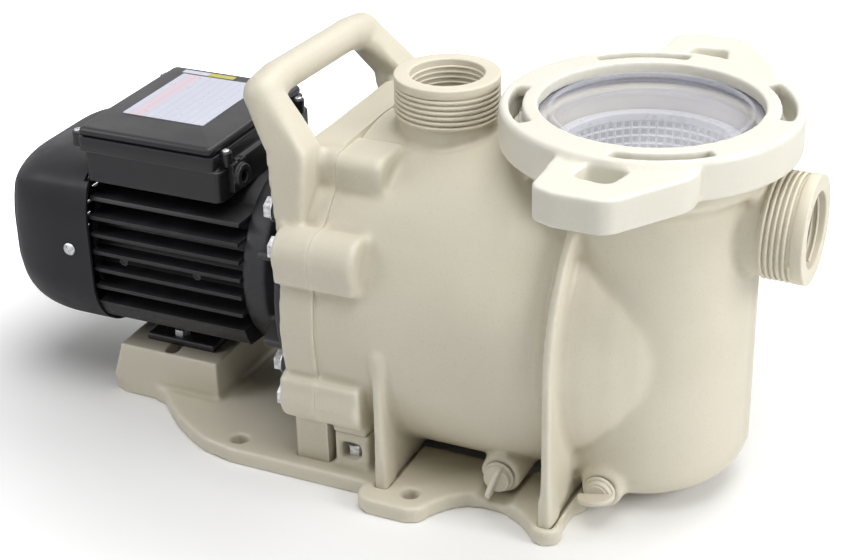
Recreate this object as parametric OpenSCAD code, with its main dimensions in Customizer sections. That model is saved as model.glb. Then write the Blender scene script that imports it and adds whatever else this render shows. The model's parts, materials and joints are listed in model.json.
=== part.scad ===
// Self-priming pool pump: strainer pot with bayonet lid ring, volute body, bracket with carry handle,
// finned electric motor and base plate. Millimetres.
// Frame: x runs along the shaft from the motor to the inlet and is 0 at the joint face between bracket and
// pump body, y is 0 on the plane of symmetry, z is 0 on the floor.

/* [Shaft line] */
// Height of the shaft axis above the floor
shaft_h = 122.5; // [122.5:0.5:130]
// Radius of the motor shaft inside the motor
shaft_r = 10; // [9:0.25:10.5]
// Radius of the shaft end that carries seal and impeller
shaft_end_r = 8; // [7:0.25:8.5]

/* [Pump body] */
// Outer radius of the barrel
barrel_r = 120; // [119:0.5:120.5]
// Length of the straight barrel, from the joint face
barrel_len = 109; // [100:1:115]
// Depth of the domed barrel end, most of it inside the pot
dome_len = 150; // [140:1:152]
// Wall thickness of the moulding
wall = 7; // [5:0.5:8]
// Radius of the volute chamber
chamber_r = 108; // [104:0.5:109]
// Distance from the joint face to the pot axis
pot_x = 198; // [196:1:202]
// Outer radius of the pot
pot_r = 78; // [76:0.5:80]
// Height of the underside of the pot
pot_floor_z = 9.5; // [8:0.5:14]
// Rounding of the pot's lower edge
pot_round = 28; // [20:1:32]
// Height of the lower edge of the pot's collar
collar_z = 234; // [228:1:238]
// Outer radius of the pot's collar
collar_r = 84; // [82:0.5:86]

/* [Ports] */
// Outer radius of the union thread
union_r = 37.5; // [37:0.25:40]
// Length of the union thread
union_len = 31; // [26:1:32]
// Radius of the neck behind the thread
neck_r = 35.5; // [34:0.25:36.5]
// Radius of the port bore
port_r = 26.2; // [24:0.1:27]
// Distance from the joint face to the outlet axis
outlet_x = 50; // [48:1:54]
// Height of the outlet face
outlet_top = 281; // [276:1:290]
// Distance from the joint face to the inlet face
inlet_face = 314; // [310:1:322]
// Height of the inlet axis
inlet_z = 207.5; // [200:0.5:210]

/* [Lid, ring and basket] */
// Height of the top of the lock ring
ring_top = 280.5; // [280:0.5:284]
// Outer radius of the lock ring
ring_r = 101.2; // [100.5:0.1:103]
// Height of the lock ring
ring_h = 28; // [27:0.5:30]
// Thickness of the ring's top plate
ring_plate = 9; // [7:0.5:9]
// Radius of the window in the ring
window_r = 75; // [73:0.5:76]
// Distance of the handle's outer edge from the pot axis
ear_reach = 151; // [146:1:156]
// Angle that the ring turns from set down to locked
lock_turn = 45; // [40:1:45]
// Height of the pot rim that the lid rests on
rim_z = 264; // [263:0.5:264.5]
// Height of the top of the basket rim
basket_top = 248; // [244:1:252]
// Height of the underside of the basket
basket_floor = 44; // [36:1:60]
// Outer radius of the basket wall at the top
basket_r = 64; // [60:0.5:65]

/* [Bracket and handle] */
// Thickness of the bracket
bracket_t = 27; // [24:0.5:30]
// Radius of the bracket disc
bracket_r = 122; // [121:0.5:122]
// Height of the flat top between the handle legs
web_top = 241; // [238:0.5:243]
// Radius of the handle grip
grip_r = 12; // [10:0.5:13]
// Height of the grip axis
grip_z = 281.5; // [278:0.5:288]
// Distance of the grip axis behind the joint face
grip_back = 55; // [50:0.5:58]
// Half width over the handle legs at their foot
leg_half_w = 106; // [104:0.5:108]

/* [Fastening of bracket and body] */
// Radius of the bolt bosses
boss_r = 19; // [17:0.5:20]
// Length of the bosses on the body
boss_len = 34; // [30:1:38]
// Shank radius of the bracket bolts
bolt_r = 5; // [4:0.25:5]

/* [Foot ribs and base] */
// Distance from the joint face to the front foot rib
rib_a_x = 48; // [46:1:52]
// Distance from the joint face to the rear foot rib
rib_b_x = 172; // [168:1:174]
// Thickness of the foot ribs
rib_t = 7; // [6:0.5:9]
// Half width over the foot ribs
rib_half_w = 122.5; // [121.5:0.5:124]
// Thickness of the base plate
base_t = 12.5; // [11:0.5:14]
// Depth of the foot pockets in the base plate
pocket = 4.5; // [3:0.5:5]
// Half width of the base plate
base_half_w = 120.5; // [118:0.5:123]
// Height of the motor pedestal
pedestal_h = 44; // [40:0.5:46]
// Half width of the motor pedestal
pedestal_half_w = 64; // [60:0.5:67]
// Radius of the floor bolt holes
floor_bolt_r = 6.5; // [5:0.25:7]

/* [Motor] */
// Distance from the joint face to the front end of the finned frame
frame_front = 84; // [82:1:88]
// Length of the finned frame
frame_len = 130; // [126:1:134]
// Half size of the finned frame over its fins
frame_half = 75; // [73:0.5:75.5]
// Outer radius of the frame's core
core_r = 62; // [60:0.5:63]
// Bore radius of the frame's core
core_bore = 54; // [52:0.5:55]
// Pitch of the fins
fin_pitch = 14.4; // [13:0.2:14.8]
// Thickness of the fins
fin_t = 3; // [2:0.25:4]
// Half size of the fan cover
cover_half = 78.5; // [78.5:0.5:82]
// Length of the fan cover
cover_len = 76; // [74:1:82]
// Wall of the fan cover
cover_wall = 2.5; // [2:0.25:3]
// Radius of the bearing seats
bearing_r = 23.5; // [22:0.25:24]
// Radius of the motor flange
flange_r = 100; // [98:0.5:102]
// Length of the stator core
stator_len = 70; // [60:1:76]

/* [Terminal box] */
// Height of the top of the box lid
box_top = 225; // [222:0.5:228]
// Height of the underside of the box
box_z = 183; // [182.5:0.5:184]
// Half width of the box
box_half_w = 69.5; // [66:0.5:71]
// Length of the box
box_len = 116; // [114:1:118]

/* [Clearances] */
// Running clearance of a shaft in its bore
run_gap = 0.05; // [0.03:0.01:0.08]
// Gap between parts that are only set together
set_gap = 0.3; // [0.2:0.05:0.4]
// Gap between pressed or bolted parts of one body
fit_gap = 0.1; // [0.05:0.01:0.2]

/* [Hidden] */
$fn = 96;
BEIGE = "#cfc7b2";
IVORY = "#e6e2d4";
DARK = "#45464c";
BLACK = "#1d1d20";
STEEL = "#b9bcc0";
BRASS = "#b58d3c";
COPPER = "#b4693a";
RUBBER = "#222222";
CLEAR = "#c6ccd8";

chamber_len = pot_x - pot_r - wall - 9;
pot_in = pot_r - wall;
mid_y = 106;
mid_dz = 55.5;
top_y = 62;
top_dz = 99.5;
MID_BOSSES = [for (s = [-1, 1], t = [-1, 1]) [s * mid_y, t * mid_dz]];
TOP_BOSSES = [for (s = [-1, 1], t = [-1, 1]) [s * top_y, t * top_dz]];
drain_z = 24;
drain_r = 15;
plug_r = 8;
volute_drain_x = 127;
volute_drain_face = 92;
drain_reach = 4;
pot_drain_face = pot_r + drain_reach;
seal_seat_r = 20;
shaft_hole_r = 11;
spigot_len = 12;
spigot_r = chamber_r - set_gap;
leg_x = 13;
foot_y = 107.5;
upstand_z = 40;
knee_z = 246;
knee_half_w = 96;
rail_in = 60;
foot_bolt_x = -161;
motor_rear = frame_front + frame_len;
cover_front = frame_front + frame_len - 2;
box_front = 98.5;
box_rear = box_front + box_len;
box_rim = box_top - 7;
gland_y = -48;
gland_z = 200;
stator_front = frame_front + 26;
stator_r = core_bore - fit_gap;
cover_top = 71;
cover_bottom = 69.5;
cover_corner = 48;
cover_screw_x = -cover_front - 18;
cover_screw_z = shaft_h + 5;
front_bearing_x = -66;
bearing_w = 14;
rear_bearing_r = 20;
rear_bearing_w = 12;
rear_shaft_r = shaft_r - 1.5;
rear_bearing_x = -motor_rear - 3;
flange_bolt_c = 88 * sin(45);
eye_r = 26;
impeller_x = 30;
impeller_r = 66;
diffuser_r = 84;
suction_r = 30;
suction_x = 68;
seal_ring_x = 6;
lid_flange_r = 88;
lid_seal_r = 79;
lid_t = ring_top - ring_plate - rim_z - 2 * set_gap;
lug_t = 6;
lug_out = 93;
lug_half = lock_turn / 2 - 1.5;

// 2-D shapes drawn in the y-z plane and pushed along x
module along_x(x0) {
  translate([x0, 0, 0])
    rotate([90, 0, 90])
      children();
}

// 2-D shapes drawn in the x-z plane and pushed along y, centred on y = 0
module across(w) {
  translate([0, w / 2, 0])
    rotate([90, 0, 0])
      linear_extrude(w)
        children();
}

// Solid turned about the shaft axis from an outline of radius and x
module turned(outline) {
  translate([0, 0, shaft_h])
    rotate([0, 90, 0])
      rotate_extrude()
        polygon(outline);
}

// Solid turned about the pot axis from an outline of radius and z
module pot_turned(outline) {
  translate([pot_x, 0, 0])
    rotate_extrude()
      polygon(outline);
}

// Rod along x
module rod_x(r, x0, x1, y = 0, z = shaft_h) {
  translate([x0, y, z])
    rotate([0, 90, 0])
      cylinder(r = r, h = x1 - x0);
}

// Rod along -y from y0 to y1
module rod_y(r, y0, y1, x, z) {
  translate([x, max(y0, y1), z])
    rotate([90, 0, 0])
      cylinder(r = r, h = abs(y1 - y0));
}

// Upright rod
module rod_z(r, z0, z1, x = 0, y = 0) {
  translate([x, y, z0])
    cylinder(r = r, h = z1 - z0);
}

// Ring turned about a line along x
module ring_x(r_in, r_out, x0, x1) {
  turned([[r_in, x0], [r_out, x0], [r_out, x1], [r_in, x1]]);
}

// Round cord ring about the shaft axis
module cord_ring_x(r, cord, x) {
  translate([x, 0, shaft_h])
    rotate([0, 90, 0])
      rotate_extrude()
        translate([r, 0])
          circle(r = cord, $fn = 24);
}

// Arc points for outlines
function arc(cx, cy, r, a0, a1, n) =
  [for (i = [0:n]) [cx + r * cos(a0 + (a1 - a0) * i / n), cy + r * sin(a0 + (a1 - a0) * i / n)]];

// Rectangle with round corners, given half width and the distances of top and bottom from the middle
module round_rect(half, top, bottom, corner) {
  translate([-half, corner - bottom])
    square([2 * half, top + bottom - 2 * corner]);
  translate([corner - half, -bottom])
    square([2 * (half - corner), top + bottom]);
  for (s = [-1, 1], z = [corner - bottom, top - corner])
    translate([s * (half - corner), z])
      circle(r = corner);
}

// Hexagon-headed bolt along +x, head bottom at x0
module bolt_x(r, x0, len, y, z) {
  head = 1.7 * r;
  rod_x(r, x0, x0 + len, y, z);
  rod_x(head * 1.15, x0 - 1.5, x0, y, z);
  translate([x0 - 1.5 - 1.3 * r, y, z])
    rotate([0, 90, 0])
      cylinder(r = head, h = 1.3 * r, $fn = 6);
}

// ------------------------------------------------------------------ pump body

module barrel() {
  dome = [for (i = [0:10]) [barrel_r * cos(i * 8), barrel_len + dome_len * sin(i * 8)]];
  turned(concat([[0, 0], [barrel_r, 0]], dome, [[0, barrel_len + dome_len * sin(80)]]));
}

module pot_outside() {
  r0 = pot_r - pot_round;
  z0 = pot_floor_z + pot_round;
  pot_turned(concat(
    [[0, pot_floor_z]],
    arc(r0, z0, pot_round, -90, 0, 8),
    [[pot_r, collar_z], [collar_r, collar_z + 2], [collar_r, rim_z], [0, rim_z]]));
}

module pot_inside() {
  r0 = pot_r - pot_round;
  z0 = pot_floor_z + pot_round;
  ledge_z = basket_top - 7 - set_gap;
  pot_turned(concat(
    [[0, pot_floor_z + wall]],
    arc(r0, z0, pot_round - wall, -90, 0, 6),
    [[pot_in, ledge_z - 9], [basket_r + 1.5, ledge_z - 4], [basket_r + 1.5, ledge_z],
     [pot_in, ledge_z], [pot_in, rim_z + 1], [0, rim_z + 1]]));
}

// Bayonet lugs around the pot collar
module pot_lugs() {
  translate([pot_x, 0, rim_z - 1 - lug_t])
    for (a = [0, 90, 180, 270])
      rotate(a + 22.5)
        rotate([0, 0, -lug_half])
          rotate_extrude(angle = 2 * lug_half)
            translate([collar_r - 1, 0])
              square([lug_out - collar_r + 1, lug_t]);
}

module foot_rib(x0, top_z) {
  pad_h = 46;
  intersection() {
    along_x(x0 - rib_t / 2)
      linear_extrude(rib_t)
        difference() {
          union() {
            translate([0, shaft_h])
              circle(r = rib_half_w);
            translate([-rib_half_w, base_t - pocket])
              square([2 * rib_half_w, shaft_h - base_t + pocket]);
          }
          translate([-rail_in + 6, 0])
            square([2 * rail_in - 12, shaft_h]);
        }
    translate([x0 - 20, -150, base_t - pocket])
      cube([40, 300, top_z - base_t + pocket]);
  }
  for (s = [-1, 1])
    intersection() {
      translate([0, s * (rib_half_w - 9), 0])
        across(18)
          polygon([[x0 - 5.5, base_t - pocket], [x0 + 5.5, base_t - pocket],
                   [x0 + rib_t / 2, base_t + pad_h], [x0 - rib_t / 2, base_t + pad_h]]);
      translate([x0 - 20, -rib_half_w, 0])
        cube([40, 2 * rib_half_w, 200]);
    }
}

module body_bosses(x0, len) {
  along_x(x0)
    linear_extrude(len)
      for (s = [0, 1])
        mirror([s, 0]) {
          for (t = [-1, 1])
            translate([mid_y, shaft_h + t * mid_dz])
              circle(r = boss_r);
          translate([mid_y - 12, shaft_h + mid_dz - boss_r])
            square([12 + boss_r - 2, boss_r]);
          translate([mid_y - 12, shaft_h - mid_dz])
            square([12 + boss_r - 2, boss_r]);
          translate([40, shaft_h + top_dz - 26])
            square([30, 44]);
          translate([60, shaft_h + top_dz - 26])
            square([17, 35]);
          translate([68, shaft_h + top_dz + 9])
            circle(r = 9);
          translate([top_y, shaft_h - top_dz])
            circle(r = 10);
        }
}

module union_end_z() {
  rod_z(neck_r, shaft_h + barrel_r - 20, outlet_top - union_len, outlet_x);
  translate([outlet_x, 0, outlet_top - union_len])
    cylinder(r = union_r, h = union_len - 1.5);
  translate([outlet_x, 0, outlet_top - 1.5])
    cylinder(r1 = union_r, r2 = union_r - 1.5, h = 1.5);
}

module union_end_x() {
  rod_x(neck_r, pot_x + pot_r - 20, inlet_face - union_len, 0, inlet_z);
  rod_x(union_r, inlet_face - union_len, inlet_face - 1.5, 0, inlet_z);
  translate([inlet_face - 1.5, 0, inlet_z])
    rotate([0, 90, 0])
      cylinder(r1 = union_r, r2 = union_r - 1.5, h = 1.5);
}

// Upright web under the inlet neck, down the pot's front
module pot_spine() {
  translate([pot_x + pot_r - 6, -2.5, pot_floor_z + pot_round])
    cube([8.5, 5, inlet_z - pot_floor_z - pot_round - 10]);
}

module body_outside() {
  barrel();
  pot_outside();
  pot_lugs();
  foot_rib(rib_a_x, shaft_h - 4);
  foot_rib(rib_b_x, collar_z);
  intersection() {
    body_bosses(0, boss_len);
    translate([-1, -150, 3])
      cube([boss_len + 2, 300, 300]);
  }
  for (s = [-1, 1])
    translate([4, s < 0 ? -foot_y : foot_y - 25, upstand_z])
      cube([28, 25, 22]);
  union_end_z();
  union_end_x();
  pot_spine();
  rod_y(drain_r, -20, -volute_drain_face, volute_drain_x, drain_z);
  rod_y(drain_r, -40, -pot_drain_face, pot_x, drain_z);
}

module pump_body() {
  color(BEIGE)
    difference() {
      body_outside();
      difference() {
        rod_x(chamber_r, -1, chamber_len);
        rod_x(suction_r + 5, suction_x, chamber_len + 1);
      }
      pot_inside();
      rod_x(suction_r, suction_x - 1, pot_x);
      rod_z(port_r, shaft_h + 60, outlet_top + 1, outlet_x);
      rod_x(port_r, pot_x, inlet_face + 1, 0, inlet_z);
      for (p = concat(MID_BOSSES, TOP_BOSSES))
        rod_x(bolt_r + fit_gap, -1, 24, p[0], shaft_h + p[1]);
      for (s = [-1, 1])
        rod_z(4 + fit_gap, upstand_z - 1, upstand_z + 17, 18, s * 96);
      rod_y(plug_r + set_gap, -34, -volute_drain_face - 1, volute_drain_x, drain_z);
      // way from the volute to its drain
      rod_x(4, 90, volute_drain_x, -44, drain_z + 2);
      rod_y(plug_r + set_gap, -40, -pot_drain_face - 1, pot_x, drain_z);
    }
}

// ------------------------------------------------------------------ lid, ring, basket

module strainer_lid() {
  z0 = rim_z + set_gap;
  z1 = z0 + lid_t;
  hub = window_r - 6;
  rise = ring_top - 5.5;
  ball = 260;
  top_c = ring_top - 1.5 - ball;
  color(CLEAR, 0.5)
    difference() {
      pot_turned([[0, z0 + 4], [pot_in - 6, z0 - 4], [pot_in - 1, z0 - 4], [pot_in - 1, z0],
                  [lid_flange_r, z0], [lid_flange_r, z1], [hub, z1], [hub, rise], [hub - 4, rise],
                  [hub - 4, rise + 1], [0, ring_top + 4]]);
      difference() {
        rod_z(hub - 4, z0 - 10, ring_top + 10, pot_x);
        translate([pot_x, 0, top_c])
          sphere(r = ball, $fn = 180);
      }
      translate([pot_x, 0, top_c - 5])
        intersection() {
          sphere(r = ball, $fn = 180);
          cylinder(r = pot_in - 10, h = ball + 10);
        }
      translate([pot_x, 0, z0 - 0.01])
        rotate_extrude()
          translate([lid_seal_r - 3, 0])
            square([6, 4.4]);
    }
}

module lid_seal() {
  color(RUBBER)
    translate([pot_x, 0, rim_z + set_gap + 2.1])
      rotate_extrude()
        translate([lid_seal_r, 0])
          circle(r = 2.1, $fn = 24);
}

// One finger handle of the ring, on the +y side, drawn about the pot axis
module ring_ear() {
  difference() {
    hull() {
      translate([-19, ear_reach - 13])
        circle(r = 10);
      translate([-10, ear_reach - 15])
        circle(r = 15);
      translate([14, ear_reach - 17])
        circle(r = 17);
      translate([30, 88])
        circle(r = 30);
      translate([-26, 90])
        circle(r = 5);
    }
    hull() {
      translate([-4, ring_r + 16])
        circle(r = 6);
      translate([10, ring_r + 17])
        circle(r = 7);
      translate([-4, ring_r + 5])
        circle(r = 4);
      translate([16, ring_r + 5])
        circle(r = 4);
    }
    circle(r = ring_r - 4);
  }
}

module ring_slots() {
  for (a = [0, 90, 180, 270])
    rotate([0, 0, a + 22.5 - 21])
      rotate_extrude(angle = 42)
        translate([85.5, -1])
          square([9, ring_plate + 2]);
}

module lock_ring() {
  z0 = ring_top - ring_h;
  color(IVORY)
    translate([pot_x, 0, 0]) {
      difference() {
        union() {
          translate([0, 0, z0])
            cylinder(r = ring_r, h = ring_h - 2);
          translate([0, 0, ring_top - 2])
            cylinder(r1 = ring_r, r2 = ring_r - 2, h = 2);
          translate([0, 0, z0])
            linear_extrude(ring_h - 4)
              for (s = [0, 1])
                mirror([0, s])
                  ring_ear();
        }
        translate([0, 0, z0 - 1])
          cylinder(r = ring_r - 6.2, h = ring_h - ring_plate + 1);
        translate([0, 0, z0 - 1])
          cylinder(r = window_r, h = ring_h + 2);
        translate([0, 0, ring_top - ring_plate])
          ring_slots();
      }
      for (a = [0, 90, 180, 270])
        rotate([0, 0, a + 22.5 + lock_turn - lug_half])
          translate([0, 0, z0])
            rotate_extrude(angle = 2 * lug_half)
              translate([collar_r + 1, 0])
                square([ring_r - 5 - collar_r - 1, rim_z - 1 - lug_t - set_gap - z0]);
    }
}

module basket() {
  rim_z0 = basket_top - 7;
  r_low = basket_r - 5;
  color(CLEAR)
    difference() {
      pot_turned([[0, basket_floor], [r_low, basket_floor], [basket_r, rim_z0], [pot_in - 2, rim_z0],
                  [pot_in - 2, basket_top], [basket_r - 2.5, basket_top], [r_low - 2.5, basket_floor + 3],
                  [0, basket_floor + 3]]);
      for (k = [0:13])
        translate([pot_x, 0, 0])
          rotate([0, 0, k * 180 / 14]) {
            translate([-100, -4, basket_floor + 14])
              cube([200, 8, 52]);
            translate([-100, -4, basket_floor + 76])
              cube([200, 8, 52]);
            translate([-100, -4, basket_floor + 138])
              cube([200, 8, 44]);
          }
      for (k = [0:7])
        rod_z(5, basket_floor - 1, basket_floor + 4, pot_x + 36 * cos(k * 45), 36 * sin(k * 45));
      rod_z(8, basket_floor - 1, basket_floor + 4, pot_x);
    }
}

// ------------------------------------------------------------------ drain plugs

// Plug at the origin, screwed in along +y, head at y = 0 and below
module plug_shape(wing_along_x) {
  rod_y(plug_r, 16, 0, 0, 0);
  rod_y(11.5, 0, -5, 0, 0);
  rotate([0, wing_along_x ? 0 : 90, 0])
    difference() {
      translate([-15, -17, -3])
        cube([30, 13, 6]);
      for (s = [-1, 1])
        translate([s * 15, -18, 0])
          rotate([0, 45, 0])
            cube([3, 40, 3], center = true);
    }
}

module volute_plug() {
  color(IVORY)
    translate([volute_drain_x, -volute_drain_face - 2 * 1.6 - set_gap, drain_z])
      plug_shape(false);
}

module pot_plug() {
  color(IVORY)
    translate([pot_x, -pot_drain_face - 2 * 1.6 - set_gap, drain_z])
      plug_shape(true);
}

module plug_seal(x, face) {
  color(RUBBER)
    translate([x, -face - 1.6 - set_gap / 2, drain_z])
      rotate([90, 0, 0])
        rotate_extrude()
          translate([plug_r + 1.6 + set_gap / 2, 0])
            circle(r = 1.6, $fn = 20);
}

module volute_plug_seal() {
  plug_seal(volute_drain_x, volute_drain_face);
}

module pot_plug_seal() {
  plug_seal(pot_x, pot_drain_face);
}

// ------------------------------------------------------------------ base

module base_outline() {
  for (s = [0, 1])
    mirror([0, s]) {
      polygon([[-214, 0], [-214, 60], [-204, pedestal_half_w], [-176, pedestal_half_w + 1], [-162, 70],
               [-150, 82], [-135, 95], [-118, 106], [-101, 115], [-76, base_half_w],
               [34, base_half_w], [88, 127], [98, 113], [108, 105], [125, 102.5], [136, 104],
               [148, 110], [160, 120], [180, 120], [180, 88], [186, 79], [186, 0]]);
      hull() {
        translate([48, base_half_w + 6])
          circle(r = 14, $fn = 32);
        translate([74, base_half_w + 6])
          circle(r = 14, $fn = 32);
      }
      translate([172, 117.5])
        circle(r = 11);
    }
}

module base_plate() {
  shelf = base_t - pocket;
  arm_x = 150;
  color(BEIGE)
    difference() {
      union() {
        linear_extrude(base_t)
          difference() {
            base_outline();
            translate([7, -rail_in])
              square([arm_x - 7, 2 * rail_in]);
          }
        across(2 * pedestal_half_w)
          polygon([[-214, base_t - 1], [-204, pedestal_h], [-118, pedestal_h], [-118, base_t - 1]]);
        for (s = [-1, 1])
          translate([5, s < 0 ? -foot_y : foot_y - 20, base_t - 1])
            cube([27, 20, upstand_z - base_t + 1]);
      }
      // hollow of the cross member under pot and barrel
      translate([arm_x - 1, -rail_in - 6, 6])
        cube([60, 2 * rail_in + 12, 20]);
      translate([-bracket_t - 3, -rail_in, 1.8])
        cube([bracket_t + 11, 2 * rail_in, 20]);
      // pockets for rib feet and bracket feet
      for (x0 = [rib_a_x, rib_b_x])
        translate([x0 - 5.5 - set_gap, -rib_half_w - set_gap, shelf])
          cube([11 + 2 * set_gap, 2 * rib_half_w + 2 * set_gap, 20]);
      for (s = [-1, 1])
        translate([-bracket_t - set_gap, s < 0 ? -foot_y - set_gap : foot_y - 25 - set_gap, shelf])
          cube([bracket_t + 2 * set_gap, 25 + 2 * set_gap, 20]);
      // floor bolt holes
      for (s = [-1, 1], x0 = [-76, 71])
        rod_z(floor_bolt_r, -1, base_t + 1, x0, s * (x0 < 0 ? 105 : base_half_w + 0.5));
      // bolt pockets in the upstands
      for (s = [-1, 1]) {
        translate([10, s < 0 ? -foot_y - 1 : foot_y - 19, 19])
          cube([16, 20, 13]);
        rod_z(4 + set_gap, 20, 60, 18, s * 96);
      }
      // clearance for the drain plug wings
      rod_y(18, -30, -130, volute_drain_x, drain_z);
      // slots for the motor foot bolts
      for (s = [-1, 1])
        translate([foot_bolt_x - 5, s < 0 ? -61 : 30, 24])
          cube([10, 31, 30]);
    }
}

module base_bolts() {
  color(STEEL)
    for (s = [-1, 1]) {
      rod_z(4, 24, upstand_z + 15, 18, s * 96);
      translate([18, s * 96, 19 + fit_gap])
        cylinder(r = 7, h = 7, $fn = 6);
      rod_z(7.5, 26, 32 - 4, 18, s * 96);
    }
}

// ------------------------------------------------------------------ bracket

// Side view of a handle leg below the knee
module leg_side() {
  polygon([[-leg_x, shaft_h + 50], [-leg_x, knee_z - 6], [-leg_x - 1, knee_z], [-44, knee_z], [-39, 214],
           [-35, 196], [-30, shaft_h + 50]]);
}

// Front view of the handle legs below the knee
module loop_front() {
  for (s = [0, 1])
    mirror([s, 0])
      polygon([[70, knee_z], [knee_half_w, knee_z], [leg_half_w, 188], [leg_half_w, 172], [70, 172]]);
}

// Grip, two rounded corners, and legs that run down to the bracket
module handle() {
  corner_y = 75;
  rod_y(grip_r, 53, -53, -grip_back, grip_z);
  for (s = [-1, 1]) {
    hull() {
      rod_y(grip_r + 0.2, s * 50, s * 55, -grip_back, grip_z, $fn = 32);
      translate([-grip_back + 1, s * corner_y, grip_z - 4.5])
        sphere(r = 14, $fn = 32);
    }
    hull() {
      translate([-grip_back + 1, s * corner_y, grip_z - 4.5])
        sphere(r = 13.6, $fn = 32);
      translate([-44, s < 0 ? -knee_half_w : 70, knee_z - 1])
        cube([30, knee_half_w - 70, 1]);
    }
  }
  intersection() {
    across(300)
      leg_side();
    along_x(-100)
      linear_extrude(120)
        loop_front();
  }
}

module bracket() {
  foot_z = base_t - pocket;
  color(BEIGE)
    difference() {
      union() {
        intersection() {
          rod_x(bracket_r, -bracket_t, 0);
          translate([-100, -150, 4])
            cube([200, 300, 400]);
        }
        ring_x(chamber_r - 10, spigot_r, -1, spigot_len);
        translate([-bracket_t, -72, 190])
          cube([bracket_t, 144, web_top - 190]);
        difference() {
          union() {
            difference() {
              handle();
              // room for the bolt heads
              for (p = concat(MID_BOSSES, TOP_BOSSES))
                rod_x(10.2, -80, -bracket_t - 1, p[0], shaft_h + p[1]);
            }
            intersection() {
              body_bosses(-bracket_t - 2, bracket_t + 2);
              translate([-100, -150, 4])
                cube([200, 300, 400]);
            }
          }
          // room for the motor flange
          rod_x(flange_r + set_gap, -80, -bracket_t + 1);
        }
        for (s = [-1, 1])
          translate([-bracket_t, s < 0 ? -foot_y : foot_y - 25, foot_z])
            cube([bracket_t, 25, 60]);
      }
      rod_x(shaft_hole_r, -40, 20);
      rod_x(seal_seat_r, -9, 20);
      // dished back that takes the motor spigot
      rod_x(64, -40, -20);
      // groove of the body seal
      ring_x(spigot_r - 4.2, spigot_r + 1, 4, 9);
      for (p = concat(MID_BOSSES, TOP_BOSSES))
        rod_x(bolt_r + fit_gap, -80, 20, p[0], shaft_h + p[1]);
      for (s = [-1, 1], t = [-1, 1])
        rod_x(5 + fit_gap, -80, -8, s * flange_bolt_c, shaft_h + t * flange_bolt_c);
    }
}

module body_seal() {
  color(RUBBER)
    cord_ring_x(spigot_r - 2, 2, 6.5);
}

module bracket_bolts() {
  color(STEEL)
    for (p = concat(MID_BOSSES, TOP_BOSSES))
      bolt_x(bolt_r, -bracket_t - 2, bracket_t + 24, p[0], shaft_h + p[1]);
}

// ------------------------------------------------------------------ wet end

module diffuser() {
  x0 = 14;
  x1 = 52;
  color(BLACK)
    difference() {
      union() {
        difference() {
          rod_x(diffuser_r, x0, x1);
          rod_x(diffuser_r - 9, x0 - 1, x1 - 4);
        }
        rod_x(suction_r + 5, x1 - 1, suction_x - fit_gap);
        for (a = [0:60:300])
          translate([0, 0, shaft_h])
            rotate([a, 0, 0])
              translate([x0 + 1, diffuser_r - 8, -2])
                cube([x1 - x0 - 2, 28, 4]);
        difference() {
          ring_x(diffuser_r - 9, chamber_r - 14, 12.5, 17);
          rod_x(diffuser_r - 9, 10, 20);
        }
      }
      rod_x(suction_r, x1 - 10, suction_x + 5);
      for (a = [30:60:330])
        translate([0, 0, shaft_h])
          rotate([a, 0, 0])
            translate([x0 + 8, 60, -12])
              cube([16, 60, 24]);
    }
}

module impeller() {
  color(BLACK)
    difference() {
      union() {
        rod_x(impeller_r, impeller_x, impeller_x + 3);
        rod_x(15, 24, impeller_x + 8);
        ring_x(eye_r, impeller_r, impeller_x + 11, impeller_x + 14);
        ring_x(eye_r, eye_r + 3, impeller_x + 12, impeller_x + 22);
        for (a = [0:60:300])
          translate([impeller_x + 2, 0, shaft_h])
            rotate([a, 0, 0])
              rotate([0, 90, 0])
                linear_extrude(10)
                  difference() {
                    translate([31, 12])
                      circle(r = 35);
                    translate([31, 12])
                      circle(r = 32);
                    translate([-10, -60])
                      square([100, 72]);
                    circle(r = 14);
                    difference() {
                      circle(r = 120);
                      circle(r = impeller_r - 1);
                    }
                  }
      }
      rod_x(shaft_end_r + fit_gap, 0, impeller_x + 60);
    }
}

module impeller_nut() {
  color(BRASS)
    difference() {
      translate([impeller_x + 8, 0, shaft_h])
        rotate([0, 90, 0])
          cylinder(r = 13, h = 9, $fn = 6);
      rod_x(shaft_end_r + fit_gap, 0, 100);
    }
}

module seal_seat() {
  color(IVORY)
    difference() {
      rod_x(seal_seat_r - fit_gap, -9, -0.5);
      rod_x(shaft_end_r + 2, -10, 10);
    }
}

module seal_head() {
  color(BLACK)
    ring_x(shaft_end_r + run_gap, 16, -0.4, seal_ring_x);
}

// Coil that pushes the seal head on its seat, swept along a helix
module seal_spring() {
  turns = 4;
  steps = 18;
  sides = 6;
  wire = 1;
  coil_r = 13.5;
  x0 = seal_ring_x + wire;
  x1 = 24 - wire;
  n = turns * steps;
  pts = [for (i = [0:n], j = [0:sides - 1])
    let (a = i * 360 / steps, x = x0 + (x1 - x0) * i / n, b = j * 360 / sides, r = coil_r + wire * cos(b))
      [x + wire * sin(b), r * cos(a), shaft_h + r * sin(a)]];
  faces = concat(
    [[for (j = [0:sides - 1]) j]],
    [for (i = [0:n - 1], j = [0:sides - 1])
      [i * sides + j, (i + 1) * sides + j, (i + 1) * sides + (j + 1) % sides, i * sides + (j + 1) % sides]],
    [[for (j = [sides - 1:-1:0]) n * sides + j]]);
  color(STEEL)
    polyhedron(pts, faces);
}

// ------------------------------------------------------------------ rotor

module shaft() {
  tail = -motor_rear - 32;
  color(STEEL)
    turned([[0, tail], [rear_shaft_r, tail], [rear_shaft_r, -motor_rear + 12],
            [shaft_r + 3, -motor_rear + 12], [shaft_r + 3, front_bearing_x - 4],
            [shaft_r, front_bearing_x - 4], [shaft_r, -14],
            [shaft_end_r, -14], [shaft_end_r, impeller_x + 19], [0, impeller_x + 19]]);
}

module rotor_core() {
  x0 = -stator_front - stator_len;
  color(STEEL)
    ring_x(shaft_r + 3 + fit_gap, 38, x0, x0 + stator_len);
}

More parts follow.
